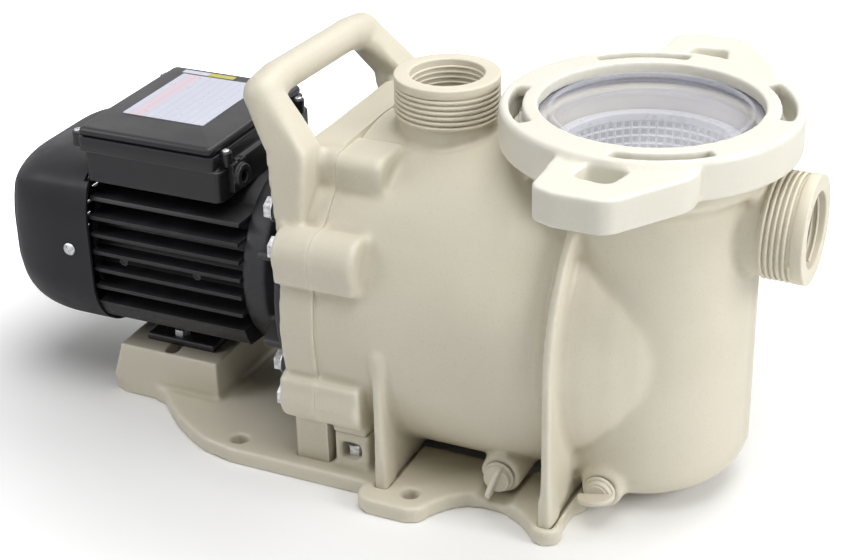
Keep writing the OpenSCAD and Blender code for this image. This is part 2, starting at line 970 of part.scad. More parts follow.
module cooling_fan() {
  x0 = -motor_rear - 30;
  color(BLACK)
    difference() {
      union() {
        rod_x(15, x0, x0 + 20);
        rod_x(56, x0 + 16, x0 + 19);
        for (a = [0:45:315])
          translate([x0, 0, shaft_h])
            rotate([a, 0, 0])
              translate([0, 12, -1.25])
                cube([17, 43, 2.5]);
      }
      rod_x(rear_shaft_r + fit_gap, x0 - 10, x0 + 40);
    }
}

module slinger() {
  color(RUBBER)
    turned([[shaft_r + fit_gap, -38], [17, -38], [17, -35], [14, -32], [22, -28], [21, -26.5], [12, -27],
            [shaft_r + fit_gap, -27]]);
}

// ------------------------------------------------------------------ motor

module frame_profile() {
  rail_z = 4.3 - 3 * fin_pitch;
  difference() {
    intersection() {
      union() {
        circle(r = core_r);
        for (k = [-3:3])
          translate([0, k * fin_pitch + 4.3])
            square([200, fin_t], center = true);
        for (k = [-2:2])
          translate([k * 13 - fin_t / 2, -core_r - 3.5])
            square([fin_t, 20]);
        // corner rails below, where the foot is cast on
        polygon([[3 - frame_half, rail_z], [5 - frame_half, -48], [-66, -53], [-40, -56],
                 [40, -56], [66, -53], [frame_half - 5, -48], [frame_half - 3, rail_z]]);
      }
      round_rect(frame_half, 72, 68, 42);
      translate([-100, -core_r - 3.5])
        square([200, core_r + 3.5 + box_z - shaft_h - fit_gap]);
    }
    circle(r = core_bore);
  }
}

module motor_frame() {
  color(BLACK)
    difference() {
      along_x(-motor_rear)
        linear_extrude(frame_len)
          translate([0, shaft_h])
            frame_profile();
      // fins end where the fan cover slips on
      difference() {
        translate([-motor_rear - 1, -90, shaft_h - 75])
          cube([3.3, 180, 134]);
        rod_x(core_r + 1, -motor_rear - 2, -motor_rear + 6);
      }
    }
}

module end_bell() {
  x0 = -frame_front + fit_gap;
  color(DARK)
    difference() {
      union() {
        turned([[0, x0], [72, x0], [73, x0 + 3], [73, -66], [66, -60], [66, -44], [flange_r - 3, -44],
                [flange_r, -41], [flange_r, -bracket_t - fit_gap], [63, -bracket_t - fit_gap],
                [63, -20 - set_gap], [0, -20 - set_gap]]);
        for (s = [-1, 1], t = [-1, 1])
          rod_x(11, -56, -40, s * flange_bolt_c, shaft_h + t * flange_bolt_c);
        for (a = [22.5:45:337.5])
          translate([0, 0, shaft_h])
            rotate([a, 0, 0])
              translate([-62, 60, -3])
                cube([20, 34, 6]);
      }
      rod_x(56, x0 - 1, front_bearing_x - 5);
      rod_x(bearing_r + fit_gap, x0, front_bearing_x + bearing_w);
      rod_x(24, -46, 0);
      rod_x(shaft_r + 3 + 1, x0, 0);
      for (s = [-1, 1], t = [-1, 1]) {
        rod_x(5 + fit_gap, -80, 0, s * flange_bolt_c, shaft_h + t * flange_bolt_c);
      }
    }
}

module rear_shield() {
  x0 = -motor_rear - 4;
  color(DARK)
    difference() {
      union() {
        rod_x(66, x0, x0 + 4 - fit_gap);
        rod_x(core_bore - 0.2, x0, x0 + 8);
        rod_x(rear_bearing_r + 6, x0, rear_bearing_x + rear_bearing_w + 3);
      }
      rod_x(rear_bearing_r + fit_gap, x0 - 1, rear_bearing_x + rear_bearing_w + 1);
      rod_x(rear_shaft_r + 2, x0 - 10, x0 + 30);
      // flat under the terminal box
      translate([x0 - 1, -50, box_z - set_gap])
        cube([4.9, 100, 20]);
    }
}

module bearing(x0, w, r_in, r_out) {
  mid = (r_in + r_out) / 2;
  groove = 0.55 * (r_out - r_in) / 2;
  color(STEEL)
    difference() {
      ring_x(r_in + run_gap, r_out, x0, x0 + w);
      for (x = [x0 - 1, x0 + w - 1.5])
        ring_x(mid - groove, mid + groove, x, x + 2.5);
    }
}

module front_bearing() {
  bearing(front_bearing_x, bearing_w - fit_gap, shaft_r, bearing_r);
}

module rear_bearing() {
  bearing(rear_bearing_x, rear_bearing_w, rear_shaft_r, rear_bearing_r);
}

module wave_spring() {
  x0 = rear_bearing_x + rear_bearing_w;
  color(STEEL)
    ring_x(rear_bearing_r - 5, rear_bearing_r - 0.5, x0, x0 + 1);
}

module stator_core() {
  x0 = -stator_front - stator_len;
  color(STEEL)
    difference() {
      rod_x(stator_r, x0, x0 + stator_len);
      rod_x(38.5, x0 - 1, x0 + stator_len + 1);
    }
}

module windings() {
  x0 = -stator_front - stator_len;
  color(COPPER)
    for (x = [x0 - 13, x0 + stator_len])
      turned([[41, x], [49, x], [51, x + 2], [51, x + 11], [49, x + 13], [41, x + 13], [40, x + 11],
              [40, x + 2]]);
}

module tie_bolts() {
  color(STEEL)
    for (s = [-1, 1], t = [-1, 1])
      rod_x(2.5, -motor_rear - 7, -motor_rear - 4, s * 44, shaft_h + t * 44);
}

// Points of an elliptical rear edge in a view from the side or from above
function rear_edge(x0, half, along, inset, s) =
  [for (i = [0:6]) [x0 + along * (1 - sin(i * 15)), s * (half - inset * (1 - cos(i * 15)))]];

// Prism with round corners that narrows towards the rear
module cover_solid(side, top, bottom, corner, x0, x1, along, inset) {
  diagonal = (side + bottom - 2 * corner) / sqrt(2) + corner + 2;
  intersection() {
    along_x(x0)
      linear_extrude(x1 - x0)
        translate([0, shaft_h])
          round_rect(side, top, bottom, corner);
    turned(concat([[0, x1], [diagonal, x1]],
      [for (p = rear_edge(x0, diagonal, along, inset + 4, 1)) [p[1], p[0]]], [[0, x0]]));
    across(3 * side)
      translate([0, shaft_h])
        polygon(concat([[x1, -bottom], [x1, top]], rear_edge(x0, top, along, inset, 1),
          [for (i = [6:-1:0]) rear_edge(x0, bottom, along, inset, -1)[i]]));
    translate([0, 0, shaft_h - 1.5 * side])
      linear_extrude(3 * side)
        polygon(concat([[x1, -side], [x1, side]], rear_edge(x0, side, along, inset, 1),
          [for (i = [6:-1:0]) rear_edge(x0, side, along, inset, -1)[i]]));
  }
}

module fan_cover() {
  x1 = -cover_front;
  x0 = x1 - cover_len;
  w = cover_wall;
  color(DARK)
    difference() {
      cover_solid(cover_half, cover_top, cover_bottom, cover_corner, x0, x1, 46, 13);
      cover_solid(cover_half - w, cover_top - w, cover_bottom - w, cover_corner - w, x0 + w, x1 + 5,
                  45, 13);
      // notch for the terminal box
      translate([-box_rear - 1, -box_half_w - 1, box_z - 0.6])
        cube([20, 2 * box_half_w + 2, 40]);
      // air slots in the rear face
      for (k = [-4:4])
        translate([x0 - 1, -sqrt(46 * 46 - 100 * k * k), shaft_h + 10 * k - 2])
          cube([w + 3, 2 * sqrt(46 * 46 - 100 * k * k), 4]);
      for (s = [-1, 1])
        rod_y(2.5 + fit_gap, s * 60, s * 100, cover_screw_x, cover_screw_z);
    }
}

module cover_screws() {
  color(STEEL)
    for (s = [-1, 1]) {
      rod_y(2.5, s * 66, s * (cover_half + 0.5), cover_screw_x, cover_screw_z);
      rod_y(5, s * cover_half, s * (cover_half + 2.2), cover_screw_x, cover_screw_z);
    }
}

module motor_foot() {
  top = shaft_h - core_r - 3.5 - fit_gap;
  color(BLACK)
    difference() {
      union() {
        translate([foot_bolt_x - 27, -50, pedestal_h])
          cube([60, 100, 6]);
        for (s = [-1, 1])
          translate([foot_bolt_x - 27, s * 14 - 5, pedestal_h])
            cube([60, 10, top - pedestal_h]);
      }
      for (s = [-1, 1])
        rod_z(4 + fit_gap, pedestal_h - 1, pedestal_h + 10, foot_bolt_x, s * 40);
    }
}

module foot_bolts() {
  color(STEEL)
    for (s = [-1, 1]) {
      rod_z(4, 25, pedestal_h + 7, foot_bolt_x, s * 40);
      translate([foot_bolt_x, s * 40, pedestal_h + 6])
        cylinder(r = 6.5, h = 5, $fn = 6);
      translate([foot_bolt_x - 4.8, s * 40 - 8, 26])
        cube([9.6, 16, 6]);
    }
}

module flange_bolts() {
  color(STEEL)
    for (s = [-1, 1], t = [-1, 1])
      bolt_x(5, -56, 46, s * flange_bolt_c, shaft_h + t * flange_bolt_c);
}

// ------------------------------------------------------------------ terminal box

// Lengthwise block with a tapered cross-section
module box_block(x0, x1, half_low, half_high, z0, z1) {
  along_x(x0)
    linear_extrude(x1 - x0)
      polygon([[-half_low, z0], [half_low, z0], [half_high, z1], [-half_high, z1]]);
}

module terminal_box() {
  x0 = -box_rear;
  x1 = -box_front;
  color(DARK)
    difference() {
      union() {
        intersection() {
          box_block(x0, x1, box_half_w, box_half_w - 0.5, box_z, box_rim - 11);
          rod_z_rect(x0, x1, box_half_w, 6);
        }
        intersection() {
          box_block(x0, x1 - 4, box_half_w - 2.5, box_half_w - 3, box_rim - 12, box_rim - 1);
          rod_z_rect(x0, x1 - 4, box_half_w - 2.5, 5);
        }
      }
      translate([x0 + 5, -box_half_w + 7, box_z + 4])
        cube([box_len - 16, 2 * box_half_w - 14, 60]);
      rod_x(7 + fit_gap, x1 - 20, x1 + 1, gland_y, gland_z);
    }
}

// Upright prism with round corners around the box outline
module rod_z_rect(x0, x1, half, corner) {
  translate([0, 0, box_z - 1])
    linear_extrude(box_top - box_z + 2)
      translate([(x0 + x1) / 2, 0])
        round_rect((x1 - x0) / 2, half, half, corner);
}

module box_gasket() {
  color(RUBBER)
    difference() {
      translate([-box_rear + 2, -box_half_w + 5, box_rim - 1])
        cube([box_len - 10, 2 * box_half_w - 10, 1]);
      translate([-box_rear + 5, -box_half_w + 7.5, box_rim - 2])
        cube([box_len - 16, 2 * box_half_w - 15, 3]);
    }
}

module box_lid() {
  x0 = -box_rear;
  x1 = -box_front - 5;
  half = box_half_w - 1.5;
  edge = 3.5;
  color(DARK)
    difference() {
      intersection() {
        along_x(x0)
          linear_extrude(x1 - x0)
            polygon([[-half, box_rim], [half, box_rim], [half, box_top - edge], [half - edge, box_top],
                     [-half + edge, box_top], [-half, box_top - edge]]);
        across(200)
          polygon([[x0, box_rim], [x1, box_rim], [x1, box_top - edge], [x1 - edge, box_top],
                   [x0 + edge, box_top], [x0, box_top - edge]]);
        rod_z_rect(x0, x1, half, 7);
      }
      translate([x0 + 5, -half + 6, box_rim - 1])
        cube([x1 - x0 - 10, 2 * half - 12, 4]);
      for (s = [-1, 1], x = [x0 + 6, x1 - 6])
        rod_z(3.2, box_top - 3, box_top + 1, x, s * (half - 6));
    }
}

module lid_screws() {
  half = box_half_w - 1.5;
  color(STEEL)
    for (s = [-1, 1], x = [-box_rear + 6, -box_front - 11])
      rod_z(3.1, box_top - 3, box_top - 0.8, x, s * (half - 6));
}

module capacitor() {
  color(BLACK)
    rod_x(14, -box_rear + 8, -box_rear + 78, 30, box_z + 18 + fit_gap);
}

module terminal_block() {
  color(IVORY)
    difference() {
      translate([-box_rear + 30, -48, box_z + 4])
        cube([42, 18, 14]);
      for (k = [0:3])
        rod_z(3, box_z + 12, box_z + 20, -box_rear + 36 + 10 * k, -39);
    }
}

// Cord entry on the end of the box, with its clamp screw on top
module cord_entry() {
  x1 = -box_front;
  color(BLACK)
    difference() {
      union() {
        rod_x(7, x1 - 10, x1 + 1, gland_y, gland_z);
        translate([x1, gland_y - 9, gland_z - 12])
          cube([5, 18, 22]);
        rod_x(9, x1 + 4, x1 + 9, gland_y, gland_z - 1);
      }
      rod_x(4.5, x1 - 11, x1 + 20, gland_y, gland_z - 1);
    }
  color(STEEL)
    rod_z(2.6, gland_z + 10, gland_z + 12, x1 + 2.6, gland_y);
}

module rating_plates() {
  color("white")
    translate([-200, -33, box_top])
      cube([71, 87, 0.5]);
  color("white")
    translate([-204, 56, box_top])
      cube([46, 6, 0.5]);
}

pump_body();
base_plate();
base_bolts();
bracket();
body_seal();
bracket_bolts();
diffuser();
impeller();
impeller_nut();
seal_seat();
seal_head();
seal_spring();
slinger();
strainer_lid();
lid_seal();
lock_ring();
basket();
volute_plug();
pot_plug();
volute_plug_seal();
pot_plug_seal();
motor_frame();
end_bell();
rear_shield();
fan_cover();
cover_screws();
cooling_fan();
shaft();
rotor_core();
stator_core();
windings();
front_bearing();
rear_bearing();
wave_spring();
tie_bolts();
motor_foot();
foot_bolts();
flange_bolts();
terminal_box();
box_gasket();
box_lid();
lid_screws();
capacitor();
terminal_block();
cord_entry();
rating_plates();
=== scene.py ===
# %% [markdown]
# # A pool pump, dressed around its CAD frame
# The pump has a beige moulded wet end, an ivory lock ring over a clear lid, and a black motor
# behind it. The CAD model gives every size and place, so this script only adds what plastic,
# paint and zinc look like up close. It starts by loading that model as a fixed frame.

# %% Load the frame and keep its box
import json
import math

import bmesh
import bpy
import numpy as np
from mathutils import Matrix, Vector
from mathutils.bvhtree import BVHTree


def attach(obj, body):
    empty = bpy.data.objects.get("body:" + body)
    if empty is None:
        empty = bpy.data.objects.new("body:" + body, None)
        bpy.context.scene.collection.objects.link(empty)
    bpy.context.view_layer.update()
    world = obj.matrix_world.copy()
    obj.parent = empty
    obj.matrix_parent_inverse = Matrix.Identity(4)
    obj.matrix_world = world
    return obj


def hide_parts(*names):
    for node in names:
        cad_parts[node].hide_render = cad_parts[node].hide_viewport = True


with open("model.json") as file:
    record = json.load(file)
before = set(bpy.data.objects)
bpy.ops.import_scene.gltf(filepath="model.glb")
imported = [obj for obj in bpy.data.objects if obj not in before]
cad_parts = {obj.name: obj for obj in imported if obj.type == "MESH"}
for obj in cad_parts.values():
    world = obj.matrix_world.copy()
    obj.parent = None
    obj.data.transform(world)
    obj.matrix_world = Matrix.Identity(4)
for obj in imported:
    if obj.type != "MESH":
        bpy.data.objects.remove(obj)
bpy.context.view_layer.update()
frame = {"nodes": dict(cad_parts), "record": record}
NODES = frame["nodes"]
BODY_OF = {n: b for b, names in frame["record"]["behaviour"]["bodies"].items() for n in names}
MM = 0.001
SHAFT_Z = 122.5
POT_X = 198.0

# %% [markdown]
# ## The camera
# The photograph was taken from in front of the pump, from above and a little to the right.
# Everything that is placed later depends on the camera, so it comes first. It is built
# from named angles rather than dragged about, so that each number can be corrected alone.

# %% Camera
FRAME_W, FRAME_H = 845, 560
LENS = 77.68
SENSOR = 36.0
CAMERA_AT = Vector((542.7, -1079.7, 733.2)) * MM
AZIMUTH, ELEVATION, ROLL = 25.531, 27.353, -1.446


def camera_axes(azimuth, elevation, roll):
    """Right, up and back of a camera that looks at the object from these angles."""
    a, e, r = (math.radians(v) for v in (azimuth, elevation, roll))
    back = Vector((math.sin(a) * math.cos(e), -math.cos(a) * math.cos(e), math.sin(e)))
    right = Vector((math.cos(a), math.sin(a), 0))
    up = back.cross(right)
    return right * math.cos(r) + up * math.sin(r), up * math.cos(r) - right * math.sin(r), back


def add_object(name, data):
    """A new object in the scene, around this mesh, lamp or camera."""
    obj = bpy.data.objects.new(name, data)
    bpy.context.scene.collection.objects.link(obj)
    return obj


RIGHT, UP, BACK = camera_axes(AZIMUTH, ELEVATION, ROLL)
camera_data = bpy.data.cameras.new("photo_camera")
camera_data.lens, camera_data.sensor_width, camera_data.sensor_fit = LENS, SENSOR, "AUTO"
camera = add_object("photo_camera", camera_data)
camera.matrix_world = Matrix.Translation(CAMERA_AT) @ Matrix((RIGHT, UP, BACK)).transposed().to_4x4()
bpy.context.scene.camera = camera
print("camera:", LENS, "mm at", tuple(round(c, 3) for c in CAMERA_AT))

# %% [markdown]
# ## Points read from the photograph
# These are the only numbers taken from the picture. Each is the middle of what shows of one
# feature, in pixels from the top left. Small fittings are placed by them.

# %% Image points
IMAGE_POINTS = {
    "cover_screw": (71.0, 252.0),
    "lid_screw_left": (78.0, 126.5),
    "lid_screw_right": (226.5, 150.5),
    "fin_screw_left": (124.0, 261.5),
    "fin_screw_right": (197.0, 276.0),
    "bolt_upper": (268.0, 250.0),
    "bolt_lower": (277.0, 399.0),
    "upstand_screw": (356.0, 448.0),
    "label_near_left": (122.4, 112.9),
    "label_near_right": (202.8, 126.3),
    "drain_front": (498.6, 487.0),
    "drain_pot": (600.5, 496.5),
    "floor_hole_left": (240.0, 438.0),
    "floor_hole_right": (410.0, 493.0),
    "outlet_lip_left": (393.5, 72.0),
}
# metres from the camera to the pump
PUMP_DISTANCE = 1.3


def ray_through(x, y):
    """Start and direction of the sight line through a point of the picture."""
    long_side = max(FRAME_W, FRAME_H)
    local = Vector((x - FRAME_W / 2 + camera_data.shift_x * long_side,
                    FRAME_H / 2 - y + camera_data.shift_y * long_side,
                    -long_side * camera_data.lens / camera_data.sensor_width))
    return CAMERA_AT, (RIGHT * local.x + UP * local.y + BACK * local.z).normalized()


def tree_of(*objects):
    """A search tree over the finished surfaces of these objects."""
    verts, faces = [], []
    for obj in objects:
        start = len(verts)
        verts += [v.co.copy() for v in obj.data.vertices]
        faces += [[start + i for i in p.vertices] for p in obj.data.polygons]
    return BVHTree.FromPolygons(verts, faces)


def place_on(surface, point):
    """Where the sight line through a point of the picture meets a surface, which is a search
    tree or the y of an upright plane."""
    origin, direction = ray_through(*IMAGE_POINTS[point])
    if isinstance(surface, float):
        return origin + direction * ((surface - origin.y) / direction.y)
    spot = surface.ray_cast(origin, direction)[0]
    if spot is None:
        spot = surface.find_nearest(origin + direction * PUMP_DISTANCE)[0]
    return spot


def seen_at(co):
    """The picture's x and y of a place."""
    local = co - CAMERA_AT
    depth = -local.dot(BACK)
    scale = max(FRAME_W, FRAME_H) * camera_data.lens / camera_data.sensor_width / depth
    return FRAME_W / 2 + local.dot(RIGHT) * scale, FRAME_H / 2 - local.dot(UP) * scale


# %% [markdown]
# ## Node trees in words
# The world, every material and every repeated piece is a node tree. With these helpers a tree
# reads from its source to its end: one line makes a node, sets its values and links its inputs.

# %% Node helpers


def new_tree(name, kind, inputs, outputs):
    """An empty node group with its named sockets, and its input and output nodes."""
    tree = bpy.data.node_groups.new(name, kind)
    for side, sockets in (("INPUT", inputs), ("OUTPUT", outputs)):
        for label, holds in sockets:
            tree.interface.new_socket(name=label, in_out=side, socket_type="NodeSocket" + holds)
    return tree, tree.nodes.new("NodeGroupInput"), tree.nodes.new("NodeGroupOutput")


def feed(tree, to, **values):
    """Sets a node's inputs: a plain value is put in, and a pair (node, socket) is linked. An input
    goes by its name or by its number, as in in0. What is no input is one of the node's settings."""
    for key, value in values.items():
        if key.startswith("in") and key[2:].isdigit():
            socket = to.inputs[int(key[2:])]
        else:
            socket = to.inputs.get(key.replace("_", " "))
        if socket is None:
            setattr(to, key, value)
        elif isinstance(value, tuple) and hasattr(value[0], "outputs"):
            tree.links.new(value[0].outputs[value[1]], socket)
        else:
            socket.default_value = value
    return to


def node(tree, kind, **values):
    return feed(tree, tree.nodes.new(kind), **values)


def calc(tree, operation, *terms):
    """A sum, product or other small calculation of plain numbers and linked ones."""
    return node(tree, "ShaderNodeMath", operation=operation, **{f"in{k}": t for k, t in enumerate(terms)})


def noise(tree, where, size, detail=2.0, roughness=0.5):
    return node(tree, "ShaderNodeTexNoise", Vector=where, Scale=1 / (size * MM), Detail=detail,
                Roughness=roughness)


def ramp_between(tree, value, low, high, to_low=0.0, to_high=1.0):
    return node(tree, "ShaderNodeMapRange", Value=value, From_Min=low, From_Max=high,
                To_Min=to_low, To_Max=to_high)


def mix_colour(tree, factor, first, second):
    return node(tree, "ShaderNodeMix", data_type="RGBA", in0=factor, in6=first, in7=second)


def place_on_piece(tree):
    """The place on the piece itself, so that a pattern stays put when the piece moves."""
    return node(tree, "ShaderNodeTexCoord"), "Object"


def new_finish(name):
    """An empty material, with its tree and its shader."""
    mat = bpy.data.materials.new(name)
    mat.use_nodes = True
    return mat, mat.node_tree, mat.node_tree.nodes["Principled BSDF"]


# %% [markdown]
# ## Light, floor and background
# A product photograph has a few big soft lamps and a white background. Here one lamp hangs
# overhead, one stands behind and one on each side. They stay at a plain level, and the white
# comes from what the camera sees behind the object, never from more light on it.

# %% Lamps and world
scene = bpy.context.scene
scene.view_settings.view_transform = "Standard"
WHITE = (1, 1, 1, 1)
LAMPS_AIM = Vector((0.05, 0.0, 0.12))
# place and size in metres, power in watts, and the share that shows in shiny surfaces
LAMPS = [("overhead_lamp", (0.28, -0.36, 1.7), 1.3, 16.6, 0.7),
         ("back_lamp", (0.35, 0.9, 1.5), 1.3, 12.0, 1.0),
         ("right_lamp", (1.7, -0.2, 0.9), 0.9, 18.0, 1.0),
         ("left_lamp", (-1.3, -1.0, 1.0), 0.8, 7.0, 0.5)]
for name, at, size, power, shine in LAMPS:
    data = bpy.data.lights.new(name, "AREA")
    data.shape, data.size, data.energy, data.specular_factor = "DISK", size, power, shine
    lamp = add_object(name, data)
    lamp.location = at
    lamp.rotation_euler = (Vector(at) - LAMPS_AIM).to_track_quat("Z", "Y").to_euler()

world = bpy.data.worlds.new("studio_world")
world.use_nodes = True
scene.world = world
sky = world.node_tree
sky.nodes.clear()
room_light = node(sky, "ShaderNodeBackground", Color=WHITE, Strength=0.05)
white_sheet = node(sky, "ShaderNodeBackground", Color=WHITE, Strength=1.0)
which_ray = node(sky, "ShaderNodeLightPath")
looked_at = calc(sky, "MAXIMUM", (which_ray, "Is Camera Ray"), (which_ray, "Is Glossy Ray"))
behind = node(sky, "ShaderNodeMixShader", in0=(looked_at, 0), in1=(room_light, 0), in2=(white_sheet, 0))
node(sky, "ShaderNodeOutputWorld", Surface=(behind, 0))
print("studio:", len(LAMPS), "soft lamps and a white sheet behind")

# %% [markdown]
# The floor takes the pump's shadow. Further out the camera sees it lifted to white, so that no
# edge shows between the floor and the sheet.

# %% Floor
FLOOR_HALF = 6.0
FADE_FROM, FADE_TO = 0.2, 0.65
floor_mesh = bpy.data.meshes.new("studio_floor")
floor_mesh.from_pydata([(x * FLOOR_HALF, y * FLOOR_HALF, 0) for x, y in ((-1, -1), (1, -1), (1, 1), (-1, 1))],
                       [], [(0, 1, 2, 3)])
floor_finish, tree, shader = new_finish("pale_floor")
shader.inputs["Base Color"].default_value = (0.93, 0.93, 0.93, 1)
shader.inputs["Roughness"].default_value = 0.8
shader.inputs["Specular IOR Level"].default_value = 0.0
shader.inputs["Emission Color"].default_value = WHITE
far_out = node(tree, "ShaderNodeVectorMath", operation="LENGTH", in0=place_on_piece(tree))
fade = node(tree, "ShaderNodeMapRange", interpolation_type="SMOOTHSTEP", Value=(far_out, "Value"),
            From_Min=FADE_FROM, From_Max=FADE_TO)
lift = calc(tree, "MULTIPLY", (fade, 0), (node(tree, "ShaderNodeLightPath"), "Is Camera Ray"))
feed(tree, shader, Emission_Strength=(lift, 0))
floor_mesh.materials.append(floor_finish)
add_object("studio_floor", floor_mesh)
print("floor:", 2 * FLOOR_HALF, "m wide")

# %% [markdown]
# ## Shared surface effects
# Moulded plastic, cast paint and zinc all vary a little over their surface. Each effect is one
# node group with named inputs, built once and placed in every material with its own values.
# A group gives only colours, roughness and normals. The shader itself stays in the material.
#
# The first group is the skin of a moulded part: slow drifts in shade where the melt cooled,
# fine specks from the filler, edges rubbed a little paler, and corners darkened with dust and painted shade.
# The rub and the corner darkening read an attribute that is measured on the mesh itself, further down.

# %% Moulded skin group
SURFACE = [("Colour", "Color"), ("Roughness", "Float"), ("Normal", "Vector")]
EDGE = dict(attribute_name="edge", attribute_type="GEOMETRY")
skin_group, gin, gout = new_tree("moulded_skin", "ShaderNodeTree", [
    ("Colour", "Color"), ("Drift", "Color"), ("Speck", "Color"), ("Rubbed", "Color"), ("Dust", "Color"),
    ("Speck Amount", "Float"), ("Grain", "Float"), ("Dull", "Float"), ("Shiny", "Float")], SURFACE)
where = place_on_piece(skin_group)
drift = ramp_between(skin_group, (noise(skin_group, where, 70.0, 3.0), 0), 0.35, 0.7)
speck = ramp_between(skin_group, (noise(skin_group, where, 0.9, 1.0), 0), 0.6, 0.72)
speck = calc(skin_group, "MULTIPLY", (speck, 0), (gin, "Speck Amount"))
edge = node(skin_group, "ShaderNodeAttribute", **EDGE)
rub = ramp_between(skin_group, (edge, "Fac"), 0.15, 0.8)
rub = calc(skin_group, "MULTIPLY", (rub, 0), (noise(skin_group, where, 9.0, 3.0), 0))
# corners and creases, below zero in the edge attribute, go towards the dust colour: partly real dust, partly
# painted shade
dust_and_shade = ramp_between(skin_group, (edge, "Fac"), -0.1, -0.7)
dust_and_shade = calc(skin_group, "MULTIPLY", (dust_and_shade, 0), 0.55)
tone = mix_colour(skin_group, (drift, 0), (gin, "Colour"), (gin, "Drift"))
for mask, shade in ((speck, "Speck"), (rub, "Rubbed"), (dust_and_shade, "Dust")):
    tone = mix_colour(skin_group, (mask, 0), (tone, 2), (gin, shade))
gloss = ramp_between(skin_group, (noise(skin_group, where, 22.0, 4.0), 0), 0.3, 0.7,
                     (gin, "Shiny"), (gin, "Dull"))
fine = noise(skin_group, where, 0.7, 2.0)
wavy = noise(skin_group, where, 30.0, 1.0)
relief = calc(skin_group, "MULTIPLY_ADD", (wavy, 0), 2.5, (fine, 0))
bump = node(skin_group, "ShaderNodeBump", Distance=0.12 * MM, Height=(relief, 0), Strength=(gin, "Grain"))
feed(skin_group, gout, Colour=(tone, 2), Roughness=(gloss, 0), Normal=(bump, 0))
print("group:", skin_group.name)

# %% [markdown]
# The second group is zinc plate: a faint crystal pattern and a darker haze. The third is the
# sand texture of a painted casting, worn a little on its edges.

# %% Zinc and casting groups
zinc_group, gin, gout = new_tree("zinc_plate", "ShaderNodeTree", [
    ("Bright", "Color"), ("Haze", "Color"), ("Crystal Size", "Float")], SURFACE)
where = place_on_piece(zinc_group)
crystal = node(zinc_group, "ShaderNodeTexVoronoi", Vector=where, Scale=(gin, "Crystal Size"))
haze = ramp_between(zinc_group, (noise(zinc_group, where, 3.0, 3.0), 0), 0.4, 0.7)
tone = mix_colour(zinc_group, (haze, 0), (gin, "Bright"), (gin, "Haze"))
rough = ramp_between(zinc_group, (crystal, "Distance"), 0.0, 0.8, 0.22, 0.42)
bump = node(zinc_group, "ShaderNodeBump", Strength=0.15, Distance=0.05 * MM, Height=(crystal, "Distance"))
feed(zinc_group, gout, Colour=(tone, 2), Roughness=(rough, 0), Normal=(bump, 0))

paint_group, gin, gout = new_tree("cast_paint", "ShaderNodeTree", [
    ("Paint", "Color"), ("Dusty", "Color"), ("Grain", "Float")], SURFACE)
where = place_on_piece(paint_group)
sand = noise(paint_group, where, 1.6, 4.0, 0.6)
settled = ramp_between(paint_group, (noise(paint_group, where, 18.0, 3.0), 0), 0.5, 0.8, 0.0, 0.6)
edge = node(paint_group, "ShaderNodeAttribute", **EDGE)
worn = ramp_between(paint_group, (edge, "Fac"), 0.2, 0.9, 0.0, 0.8)
tone = mix_colour(paint_group, (settled, 0), (gin, "Paint"), (gin, "Dusty"))
tone = mix_colour(paint_group, (worn, 0), (tone, 2), (gin, "Dusty"))
rough = ramp_between(paint_group, (sand, 0), 0.3, 0.7, 0.38, 0.6)
bump = node(paint_group, "ShaderNodeBump", Distance=0.25 * MM, Height=(sand, 0), Strength=(gin, "Grain"))
feed(paint_group, gout, Colour=(tone, 2), Roughness=(rough, 0), Normal=(bump, 0))
print("groups:", zinc_group.name, paint_group.name)

# %% [markdown]
# ## Materials
# Each finish on the pump gets one material. The colours are written as they look in plain
# light: a warm beige body, a paler ivory ring, satin dark grey covers, blacker fins.

# %% Material makers


def srgb(r, g, b):
    """A colour read as 0 to 255 in the picture, made linear."""
    shares = [c / 255 for c in (r, g, b)]
    return tuple(((s + 0.055) / 1.055) ** 2.4 if s > 10 / 255 else s / 12.92 for s in shares) + (1,)


def finished(name, group, settings, **shader_values):
    """A material whose colour, roughness and normal come from one shared group."""
    mat, tree, shader = new_finish(name)
    for key, value in shader_values.items():
        shader.inputs[key.replace("_", " ")].default_value = value
    effect = node(tree, "ShaderNodeGroup", node_tree=group)
    for key, value in settings.items():
        effect.inputs[key].default_value = value
    feed(tree, shader, Base_Color=(effect, "Colour"), Roughness=(effect, "Roughness"),
         Normal=(effect, "Normal"))
    return mat


# the fifth colour of a moulding fills its corners and creases: partly real dust, partly painted shade
def moulded_plastic(name, main, drift, speck, rubbed, dust_and_shade, amount, grain, shiny, dull, **more):
    return finished(name, skin_group, {
        "Colour": srgb(*main), "Drift": srgb(*drift), "Speck": srgb(*speck), "Rubbed": srgb(*rubbed),
        "Dust": srgb(*dust_and_shade), "Speck Amount": amount, "Grain": grain, "Shiny": shiny, "Dull": dull}, **more)


BEIGE = moulded_plastic("beige_moulding", (216, 209, 191), (209, 203, 184), (184, 176, 153),
                        (229, 224, 207), (153, 143, 115), 0.35, 0.25, 0.34, 0.46)
IVORY = moulded_plastic("ivory_moulding", (225, 222, 209), (221, 218, 204), (198, 194, 175),
                        (234, 232, 224), (171, 166, 144), 0.25, 0.2, 0.34, 0.44)
THREAD = moulded_plastic("thread_moulding", (222, 215, 196), (214, 207, 186), (188, 179, 155),
                         (236, 231, 216), (140, 128, 98), 0.3, 0.2, 0.36, 0.48)
PLUG_IVORY = moulded_plastic("plug_ivory_moulding", (222, 216, 200), (216, 210, 194), (190, 183, 164),
                             (232, 228, 214), (165, 156, 132), 0.2, 0.2, 0.36, 0.48)
SATIN_GREY = moulded_plastic("satin_dark_cover", (25, 25, 29), (23, 23, 25), (17, 17, 19),
                             (38, 38, 42), (13, 13, 15), 0.4, 0.3, 0.33, 0.45)
COVER_GREY = moulded_plastic("satin_fan_cover", (28, 28, 33), (23, 23, 25), (17, 17, 19),
                             (38, 38, 42), (13, 13, 15), 0.4, 0.3, 0.36, 0.5, Specular_IOR_Level=0.34)
